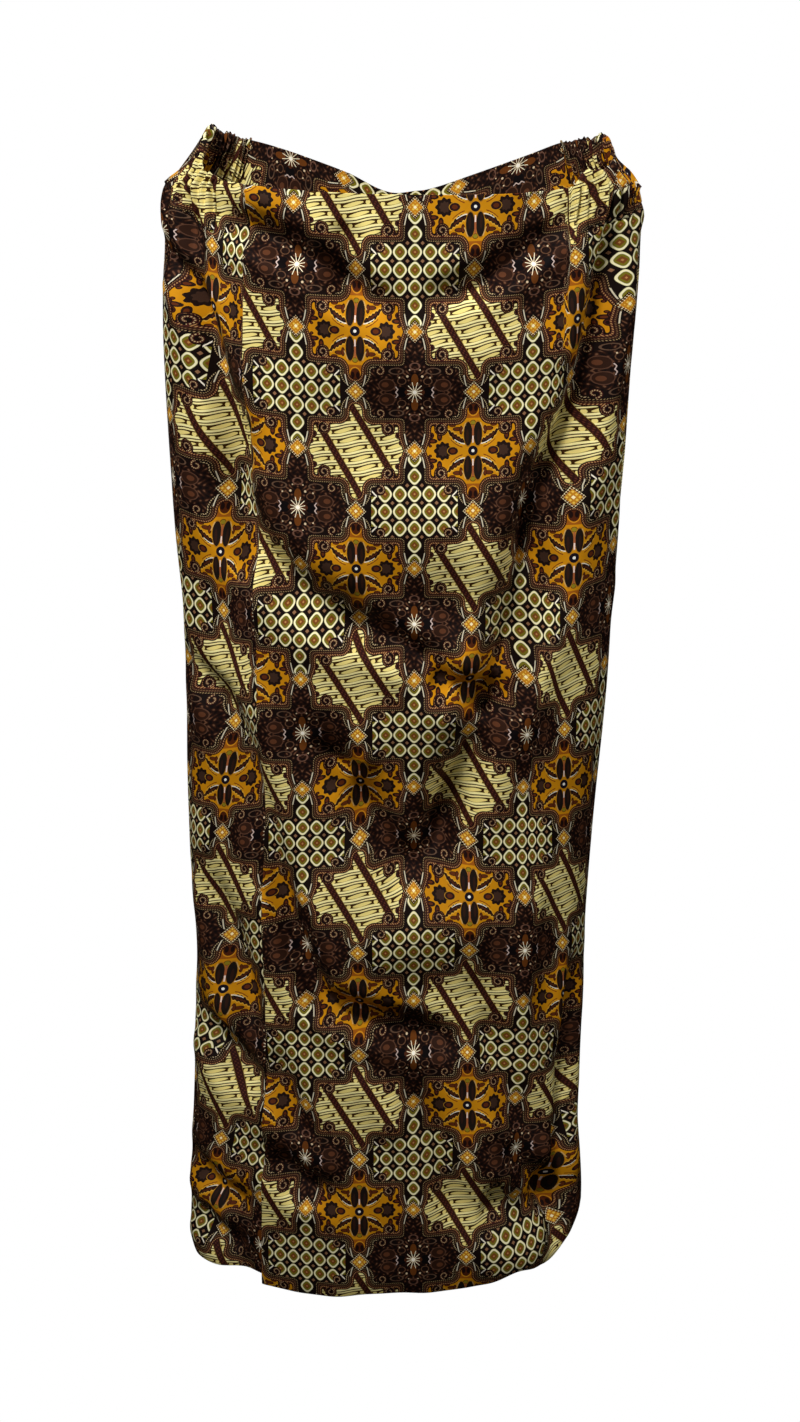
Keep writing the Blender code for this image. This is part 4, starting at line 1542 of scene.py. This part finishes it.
@dataclass
class OverlapPanel(ClothPanel):
    """The front, from its free edge over the left front round to the right side seam.

    Attributes:
        layer: How far it stands off where it lies over the left front.
        settle: Run over which it comes back to the tube past that.
        dart_angle: Where the dart lies round the tube, in degrees.
        dart_width: Half the width of the dart's groove.
        welt: Height of the cloth's swell on both sides of the groove.
        edge_roll: How far the free edge rolls out and in.
    """

    layer: float = 0.0025
    settle: float = 0.050
    dart_angle: float = 34.6
    dart_length: float = 0.165
    dart_width: float = 0.0035
    dart_depth: float = 0.0017
    welt: float = 0.0007
    edge_roll: float = 0.0006

    def lift(self, arc: Array, length: Array) -> Array:
        """Stands off over the under panel, rolls at its free edge, and dips at the dart.

        Args:
            arc: Arcs of the places.
            length: Lengths of the places.

        Returns:
            How far the cloth stands off there, in metres.
        """
        past = arc - self.start
        settle = soft_step((past - OVERLAP_REACH - 0.0012) / self.settle)
        crest, crest_width, rim_width = 0.0022, 0.0024, 0.0008
        roll = np.exp(-(((past - crest) / crest_width) ** 2)) - np.exp(-((past / rim_width) ** 2))
        roll = self.edge_roll * roll
        dart = np.abs(arc - FORM.arc_at(self.dart_angle)) / self.dart_width
        shape = self.welt * np.exp(-((dart - 1.9) ** 2)) - self.dart_depth * np.exp(-(dart**2))
        fade = soft_step((self.dart_length - length) / 0.06)
        return self.layer * (1 - settle) + roll + shape * fade

    def print_place(self, arc: Array, length: Array) -> Array:
        """Print coordinates, with the cloth that the dart and the folds below it take up.

        The print jumps at the dart's sharp line, and is taken in over 30 mm below it.

        Args:
            arc: Arcs of the places.
            length: Lengths of the places.

        Returns:
            Print coordinates in metres.
        """
        places = super().print_place(arc, length)
        lengths, takes = zip(*DART_TAKES)
        sharp = soft_step((self.dart_length - length) / 0.03)
        width = 0.0012 + 0.030 * (1 - sharp)
        over = soft_step((arc - FORM.arc_at(self.dart_angle) + width / 2) / width)
        places[..., 0] += through(lengths, takes, length) * over
        return places


@dataclass
class UnderPanel(ClothPanel):
    """The left front, from the left side seam to its edge hidden under the overlap.

    Attributes:
        top_drop: How much lower its waist edge is where the overlap covers it.
        shift_ends: Lengths from which the shifts of the table fade, and at which they end.
        slack: How far the print lies to the right at the hem.
        slack_ends: Lengths between which it gets there.
    """

    top_drop: float = 0.002
    shift_ends: tuple[float, float] = (0.45, 0.60)
    slack: float = 0.010
    slack_ends: tuple[float, float] = (0.82, 0.92)

    def lengths(self, arcs: Array) -> Array:
        """The panel's rows, with its waist edge lower where the overlap covers it.

        Args:
            arcs: The panel's columns.

        Returns:
            Lengths: one line of them for each column.
        """
        rows = super().lengths(arcs)
        covered = arcs > self.end - OVERLAP_REACH
        rows[:, :2] += np.where(covered, self.top_drop, 0.0)[:, None]
        return rows

    def print_place(self, arc: Array, length: Array) -> Array:
        """Print coordinates, shifted above by the folds there and below by the slack hem.

        Args:
            arc: Arcs of the places.
            length: Lengths of the places.

        Returns:
            Print coordinates in metres.
        """
        places = super().print_place(arc, length)
        arcs, shifts = zip(*UNDER_SHIFTS)
        shift = through(arcs, shifts, FORM.cloth_arc(arc, length) - self.lattice.arc)
        fades, ends = (
            soft_step((length - low) / (high - low)) for low, high in (self.shift_ends, self.slack_ends)
        )
        places[..., 0] += shift * (1.0 - fades) + self.slack * ends
        return places


@dataclass
class WaistFacing:
    """The flat band sewn inside the back of the waist, with its print turned upright.

    Attributes:
        behind: How far its outer face lies inside the tube.
        past: How far it reaches past the casings' back ends.
        print_top: Where its upper edge cuts the print, from a ring cell's centre.
    """

    name: str = "back_waist_band_facing"
    node: str = "back_waist_facing"
    wall: float = 0.9 * MM
    behind: float = 0.0023
    past: float = 0.0012
    print_top: float = 0.006
    spacing: float = 0.0025
    rows: int = 22

    def build(self, material: bpy.types.Material) -> bpy.types.Object:
        """Its outer face lies just inside the back panel. The lower edge waves a little where
        it is caught down, and the print's rows run across the band.

        Args:
            material: Its finish.

        Returns:
            The new piece.
        """
        start = FORM.casing_ends(Side.RIGHT)[1] - self.past
        end = FORM.casing_ends(Side.LEFT)[0] + FORM.girth + self.past
        arcs = even_columns(start, end, self.spacing)
        share = np.linspace(0.0, 1.0, self.rows + 1)
        share = np.insert(share, [1, self.rows], [0.02, 0.98])
        length = FORM.waist_length(arcs)[:, None] + FORM.band_height * share
        arc = np.broadcast_to(arcs[:, None], length.shape)
        place, normal = FORM.draped(arc, length)
        wave = 0.0004 * np.sin(arc / 0.0042) * share**4 + 0.0003 * np.sin(arc / 0.0071 + 1.0)
        roll = 0.0005 * np.exp(-((share / 0.05) ** 2))
        outer = place - normal * (self.behind + wave + roll)[..., None]
        inner = outer - normal * self.wall
        below = length - FORM.waist_length(arc)
        middle = (start + end) / 2
        places = np.stack([below - self.print_top, arc - middle], axis=-1)
        piece = Wall(outer, inner, places).build(self.name, material)
        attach(piece, BODY)
        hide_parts(self.node)
        round(end - start, 3)
        return piece


@dataclass(frozen=True)
class Beat:
    """One slow wave along a casing, by which its gathers drift, lean or swell.

    Attributes:
        size: The wave's height.
        times: How many waves the whole casing has.
        start: Where it starts, in radians.
        slope: Radians by which it shifts from the top of the band to its foot.
    """

    size: float
    times: float
    start: float = 0.0
    slope: float = 0.0


@dataclass
class ElasticCasing:
    """A doubled band drawn up on elastic into fine, uneven gathers.

    Attributes:
        side: Which side of the waist it is on.
        lattice: Where the print lies on the panel that the band continues.
        print_drawn: Length of print drawn into each length of the band, at its back.
        ease: How far from the band's front end the print gets drawn in that much.
        gathers: How many gathers it is drawn into, each with that many samples.
        depth: Half the height of a gather.
        past: How far the band reaches past its ends, under the flat waist.
        sunk: How far the band's middle lies inside the tube.
        heap: How far the upper edge bulges up over a gather; sway is its slower wave.
        fullness: Cloth in the band for each length of the gathered band.
        drift: Beats by which the gathers stand unevenly round the side.
        lean: Beats by which they lean, more and more down the band.
        swell: Beats by which they are deeper and shallower, about an even share.
    """

    side: Side
    name: str
    node: str
    lattice: PrintLattice
    print_drawn: float = 2.1
    ease: float = 0.260
    gathers: int = 27
    samples: int = 12
    rows: int = 26
    depth: float = 0.0024
    thickness: float = 0.0030
    past: float = 0.0010
    sunk: float = 0.0009
    heap: float = 0.0018
    sway: float = 0.0008
    fullness: float = 1.75
    drift: tuple[Beat, ...] = (Beat(1.1, 3, 1.0), Beat(0.7, 7.4))
    lean: tuple[Beat, ...] = (Beat(1.3, 5.3, 0.0, 2.4), Beat(1.2, 11, 0.0, 3.1))
    swell: tuple[Beat, ...] = (Beat(0.35, 4.1, 0.0, 4.0),)
    even_swell: float = 0.75

    def beats(self, table: tuple[Beat, ...], turn: Array, share: Array) -> Array:
        """The sum of a table's beats, each its size times the sine of its own turns.

        Args:
            table: The beats.
            turn: Turns of the gathers, in radians.
            share: Rows of the band.

        Returns:
            The sum at each place.
        """
        return sum(
            beat.size * np.sin(turn * beat.times / self.gathers + beat.start + beat.slope * share)
            for beat in table
        )

    def gather(self, arcs: Array, share: Array) -> tuple[Array, Array]:
        """The gathers' shape.

        The wave is a sine with a weaker one of twice its turns, deepest halfway down the
        band. The upper edge bulges up over each gather, and the bulge dies out below it.

        Args:
            arcs: The band's columns.
            share: Its rows, from 0 at the top to 1 at the foot.

        Returns:
            How far the band waves outwards, and how far its cloth is pushed up.
        """
        turn = 2 * math.pi * self.gathers * FORM.casing_share(arcs, self.side)[:, None]
        lean = self.beats(self.lean, turn, share)
        phase = turn + self.beats(self.drift, turn, share) + lean * share
        swell = self.even_swell + self.beats(self.swell, turn, share)
        belly = 0.55 + 0.45 * np.sin(math.pi * np.clip(share * 1.05, 0, 1)) ** 0.7
        wave = self.depth * (np.sin(phase) + 0.25 * np.sin(2 * phase + 1.0 + 2.0 * share))
        heap = 0.5 + 0.5 * np.sin(phase[:, :1] + 0.6)
        bulge = self.heap * heap * swell[:, :1] + self.sway * np.sin(turn / 5.3)
        return wave * swell * belly, bulge * np.exp(-share / 0.2)

    def build(self, material: bpy.types.Material) -> bpy.types.Object:
        """Both faces wave in step round the side, and pinch together at the top edge and at
        the seam below. The print is drawn in along the band with the cloth.

        Args:
            material: Its finish.

        Returns:
            The new piece.
        """
        low, high = FORM.casing_ends(self.side)
        arcs = np.linspace(low - self.past, high + self.past, self.gathers * self.samples + 1)
        share = np.linspace(0.0, 1.0, self.rows + 1)[None, :]
        wave, bulge = self.gather(arcs, share)
        length = FORM.waist_length(arcs)[:, None] + FORM.band_height * share - bulge
        arc = np.broadcast_to(arcs[:, None], length.shape)
        place, normal = FORM.draped(arc, length)
        pinch = 1.0 - 0.75 * np.exp(-share / 0.035) - 0.6 * np.exp(-(1 - share) / 0.05)
        half = normal * (self.thickness / 2 * pinch)[..., None]
        middle = place + normal * (wave - self.sunk)[..., None]
        real = FORM.cloth_arc(arc, length)
        past = real - FORM.cloth_arc(FORM.arc_at(FORM.casings[self.side].front_angle), 0.0)
        places = self.lattice.place(real, length)
        places[..., 0] += (self.print_drawn - 1.0) * soft_step(np.abs(past) / self.ease) * past
        piece = Wall(middle + half, middle - half, places).build(self.name, material)
        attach(piece, BODY)
        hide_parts(self.node)
        width = round((high - low) * self.fullness, 3)
        return piece


@dataclass(frozen=True)
class StitchLine:
    """A straight row of lockstitches that follows the cloth.

    Attributes:
        arcs: The row's first and last arc.
        lift: How far the thread's middle stands off the tube.
        below: How far down the cloth from its waist edge.
        stitch: One stitch's length, with that gap before the next.
        dip: How far a stitch sinks into the cloth at its ends.
        rings: Rings of points along a stitch, each with that many sides.
    """

    name: str
    arcs: tuple[float, float]
    lift: float
    below: float
    stitch: float = 2.6 * MM
    gap: float = 0.7 * MM
    radius: float = 0.22 * MM
    dip: float = 0.25 * MM
    rings: int = 5
    sides: int = 6

    def build(self, material: bpy.types.Material) -> bpy.types.Object:
        """Makes every stitch of the row, as one mesh.

        A stitch is a closed tube: its radius is that of the thread times the root of
        sin(pi t) along it, and its middle dips into the cloth at both ends by a parabola.

        Args:
            material: Its finish.

        Returns:
            The new piece.
        """
        pitch = self.stitch + self.gap
        count = max(1, int((self.arcs[1] - self.arcs[0]) / pitch))
        starts = self.arcs[0] + pitch * np.arange(count)
        t = np.linspace(0.0, 1.0, self.rings)
        arc = starts[:, None] + self.stitch * t[None, :]
        place, normal = FORM.draped(arc, FORM.waist_length(arc) + self.below)
        dip = self.dip * (2 * t - 1) ** 2
        middle = place + normal * (self.lift - dip)[None, :, None]
        forward = np.gradient(middle, axis=1)
        forward /= np.linalg.norm(forward, axis=-1, keepdims=True)
        sideways = np.cross(forward, normal)
        turn = 2 * math.pi * np.arange(self.sides) / self.sides
        swell = self.radius * np.sqrt(np.maximum(np.sin(math.pi * np.clip(t, 0.04, 0.96)), 0.05))
        points = middle[:, :, None, :] + swell[None, :, None, None] * (
            normal[:, :, None, :] * np.cos(turn)[None, None, :, None]
            + sideways[:, :, None, :] * np.sin(turn)[None, None, :, None]
        )
        ring = np.arange(self.sides)
        after = (ring + 1) % self.sides
        first = (np.arange(count) * self.rings * self.sides)[:, None]
        base = first[..., None] + (np.arange(self.rings - 1) * self.sides)[None, :, None]
        walls = np.stack(
            [base + ring, base + after, base + after + self.sides, base + ring + self.sides], axis=-1
        )
        caps = np.concatenate([first + ring[::-1], first + (self.rings - 1) * self.sides + ring])
        mesh = bpy.data.meshes.new(self.name)
        faces = [*walls.reshape(-1, 4).tolist(), *caps.tolist()]
        mesh.from_pydata(points.reshape(-1, 3).tolist(), [], faces)
        mesh.validate()
        mesh.shade_smooth()
        piece = add_piece(self.name, mesh, material)
        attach(piece, BODY)
        return piece


@dataclass
class Skirt:
    """The whole skirt: three body panels, the facing, two casings and their stitching.

    Attributes:
        edge_arc: The arc at which the overlap's free edge lies.
        seam: The gap between panels at the side seams.
        length: Length at which the overlap and the back end, before the hem's own line.
        under_length: The same of the left front, which is cut a little shorter.
        front_print: Where the print lies on the overlap, and likewise left and back.
        right_print: Where it lies past the dart, which has taken up 20 mm of it.
        stitch_rise: How far above a band's foot its stitches run.
        stitch_lifts: How far they stand off the tube, outside and inside it.
    """

    edge_arc: float = -0.147
    seam: float = 0.0003
    length: float = 0.990
    under_length: float = 0.981
    front_print: PrintLattice = PrintLattice(-0.0069, 0.0585)
    right_print: PrintLattice = PrintLattice(-0.0269, 0.0585)
    left_print: PrintLattice = PrintLattice(-0.1431, 0.05485)
    back_print: PrintLattice = PrintLattice(FORM.girth / 2, 0.1030)
    stitch_rise: float = 0.0020
    stitch_lifts: tuple[float, float] = (0.0009, -0.0034)

    @staticmethod
    def cut(
        kind: type[ClothPanel],
        names: tuple[str, str],
        foot: float,
        ends: tuple[float, float],
        lattice: PrintLattice,
        sides: tuple[Side, ...],
        rests_on: tuple[str, ...],
    ) -> ClothPanel:
        """One panel, whose flat cut is as wide as its run of arcs.

        Args:
            kind: The panel's class.
            names: The piece's name and its solid's.
            foot: Length at which the panel ends, without the turned-up hem.
            ends: Its first and last arc.
            lattice: Where the print lies on it.
            sides: The casings that end its upper edge.
            rests_on: What it hangs from or lies on.
        """
        flat = (round(ends[1] - ends[0], 3), foot + HEM_TURN)
        return kind(*names, foot, *ends, lattice, flat, rests_on, sides)

    def panels(self) -> list[ClothPanel]:
        """The body panels, in the order that a maker would cut them.

        Returns:
            The panels.
        """
        right = float(FORM.arc_at(FORM.side_angle))
        left = float(FORM.arc_at(-FORM.side_angle))
        half = self.seam / 2
        return [
            self.cut(
                OverlapPanel,
                ("front_overlap_cloth", "front_overlap_panel"),
                self.length,
                (self.edge_arc, right - half),
                self.front_print,
                (Side.RIGHT,),
                ("right_gathered_casing", "left_front_cloth"),
            ),
            self.cut(
                UnderPanel,
                ("left_front_cloth", "left_front_panel"),
                self.under_length,
                (left + half, self.edge_arc + OVERLAP_REACH),
                self.left_print,
                (Side.LEFT,),
                ("left_gathered_casing",),
            ),
            self.cut(
                ClothPanel,
                ("back_cloth", "back_panel"),
                self.length,
                (right + half, left + FORM.girth - half),
                self.back_print,
                (Side.RIGHT, Side.LEFT),
                ("right_gathered_casing", "left_gathered_casing"),
            ),
        ]

    def bands(self) -> list[WaistFacing | ElasticCasing]:
        """The facing and the gathered casings.

        Returns:
            The bands.
        """
        left = ("left_gathered_casing", "left_elastic_casing")
        right = ("right_gathered_casing", "right_elastic_casing")
        return [
            WaistFacing(),
            ElasticCasing(Side.LEFT, *left, self.left_print),
            ElasticCasing(Side.RIGHT, *right, self.right_print),
        ]

    def stitching(self) -> list[StitchLine]:
        """The rows of stitches that show: under both casings and along the facing's foot.

        Returns:
            The rows.
        """
        left, right = FORM.casing_ends(Side.LEFT), FORM.casing_ends(Side.RIGHT)
        low = FORM.band_height - self.stitch_rise
        outside, inside = self.stitch_lifts
        return [
            StitchLine("left_casing_stitches", left, outside, low),
            StitchLine("right_casing_stitches", right, outside, low),
            StitchLine("facing_stitches", (right[1], left[0] + FORM.girth), inside, low),
        ]

    def build(self) -> None:
        """Builds and dresses every piece."""
        cloth = BatikCloth().material()
        thread = SewingThread().material()
        for panel in self.panels():
            report(panel.build(cloth))
        for band in self.bands():
            report(band.build(cloth))
        for row in self.stitching():
            report(row.build(thread))


def report(piece: bpy.types.Object) -> None:
    """Logs a piece's name and size."""
    LOG.info("%s: %d faces, %s m", piece.name, len(piece.data.polygons), tuple(piece.dimensions))


@dataclass(frozen=True)
class Lamp:
    """One soft square lamp: where it stands, what it faces and its power in watts."""

    name: str
    place: tuple[float, float, float]
    target: tuple[float, float, float]
    power: float
    size: float = 0.4
    spread: float = 70.0

    def build(self) -> None:
        """Adds the lamp to the scene, unseen by the camera."""
        lamp = bpy.data.lights.new(self.name, "AREA")
        lamp.size, lamp.energy = self.size, self.power
        lamp.spread = math.radians(self.spread)
        holder = bpy.data.objects.new(self.name, lamp)
        holder.location = self.place
        aim = Vector(self.target) - Vector(self.place)
        holder.rotation_euler = aim.to_track_quat("-Z", "Y").to_euler()
        holder.visible_camera = False
        bpy.context.scene.collection.objects.link(holder)


@dataclass(frozen=True)
class Studio:
    """An even white cove all round, soft lamps, and a camera at the photograph's angle.

    The cove is floor, wall and ceiling in one. It glows evenly and lights nothing else, so
    that only the lamps shape the cloth.

    Attributes:
        camera_place: Where the camera stands, in metres.
        camera_pitch: How far it looks down, in degrees.
        floor_height: The floor's height; the skirt hangs clear of it.
        floor_radius: How far the floor reaches.
        ceiling: The cove's height over its floor.
        paper: The cove's colour.
        glow: How brightly it shines.
        rings: Rings of the cove's dome, each with that many sides.
        sensor: Width of the camera's sensor, in millimetres.
    """

    camera_place: tuple[float, float, float] = (-0.0064, -1.7016, 0.0)
    camera_pitch: float = 15.13
    floor_height: float = -1.16
    floor_radius: float = 6.0
    ceiling: float = 8.0
    paper: str = "#ffffff"
    glow: float = 1.0
    rings: int = 24
    sides: int = 96
    sensor: float = 36.0
    lamps: tuple[Lamp, ...] = (
        Lamp("key", (-0.4, -1.2, 1.3), (0.0, 0.0, -0.28), 5.4),
        Lamp("left_side", (-1.6, -0.75, 0.5), (0.0, 0.0, -0.35), 1.4),
        Lamp("right_side", (1.6, -0.75, 0.5), (0.0, 0.0, -0.35), 1.5),
        Lamp("fill", (0.0, -2.3, 0.1), (0.0, 0.0, -0.45), 3.0, 1.6, 120.0),
        Lamp("back_key", (0.4, 1.3, 1.2), (0.0, 0.0, -0.30), 5.0),
        Lamp("back_left", (-0.7, 1.5, 0.3), (0.0, 0.0, -0.45), 1.8),
        Lamp("back_right", (0.7, 1.5, 0.3), (0.0, 0.0, -0.45), 1.8),
    )

    def build(self) -> None:
        """Sets up the cove, the lamps and the camera."""
        self.cove()
        for lamp in self.lamps:
            lamp.build()
        scene = bpy.context.scene
        scene.view_settings.view_transform = "Standard"
        scene.view_settings.look = "None"
        camera = bpy.data.objects.new("camera", bpy.data.cameras.new("camera"))
        camera.location = self.camera_place
        camera.rotation_euler = (math.radians(90.0 - self.camera_pitch), 0.0, 0.0)
        camera.data.sensor_width = self.sensor
        camera.data.lens = self.sensor * FOCAL_PIXELS / max(IMAGE_WIDTH, IMAGE_HEIGHT)
        scene.collection.objects.link(camera)
        scene.camera = camera

    def cove(self) -> None:
        """Adds the cove: a flat floor whose edge turns up into a dome.

        Points run out along the floor and then up a quarter of an ellipse, each turned
        round the upright axis: x is the reach times the turn's cosine, y times its sine.
        """
        rise = np.linspace(0.0, math.pi / 2, self.rings)
        reach = np.append(0.0, self.floor_radius * np.cos(rise))
        height = np.append(0.0, self.ceiling * np.sin(rise)) + self.floor_height
        turn = np.linspace(0.0, 2 * math.pi, self.sides + 1)[:, None]
        x, y, z = np.broadcast_arrays(reach * np.cos(turn), reach * np.sin(turn), height)
        points = np.stack([x, y, z], axis=-1)
        material = new_material("even_white_studio_paper")
        glow = {"Color": linear(self.paper), "Strength": self.glow}
        surface(material.node_tree, "ShaderNodeEmission", glow)
        corners = cell_corners(*points.shape[:2])
        faces = np.stack([corner.ravel() for corner in corners], axis=-1)
        mesh = bpy.data.meshes.new("studio_cove")
        mesh.from_pydata(points.reshape(-1, 3).tolist(), [], faces.tolist())
        cove = add_piece("studio_cove", mesh, material)
        cove.visible_shadow = False
        lit = bpy.data.collections.new("lit_by_the_cove")
        lit.objects.link(cove)
        cove.light_linking.receiver_collection = lit


def main() -> None:
    """Builds the skirt and the studio."""
    logging.basicConfig(level=logging.INFO, format="%(name)s: %(message)s")
    Skirt().build()
    Studio().build()
    bpy.context.view_layer.update()


if __name__ == "__main__":
    main()
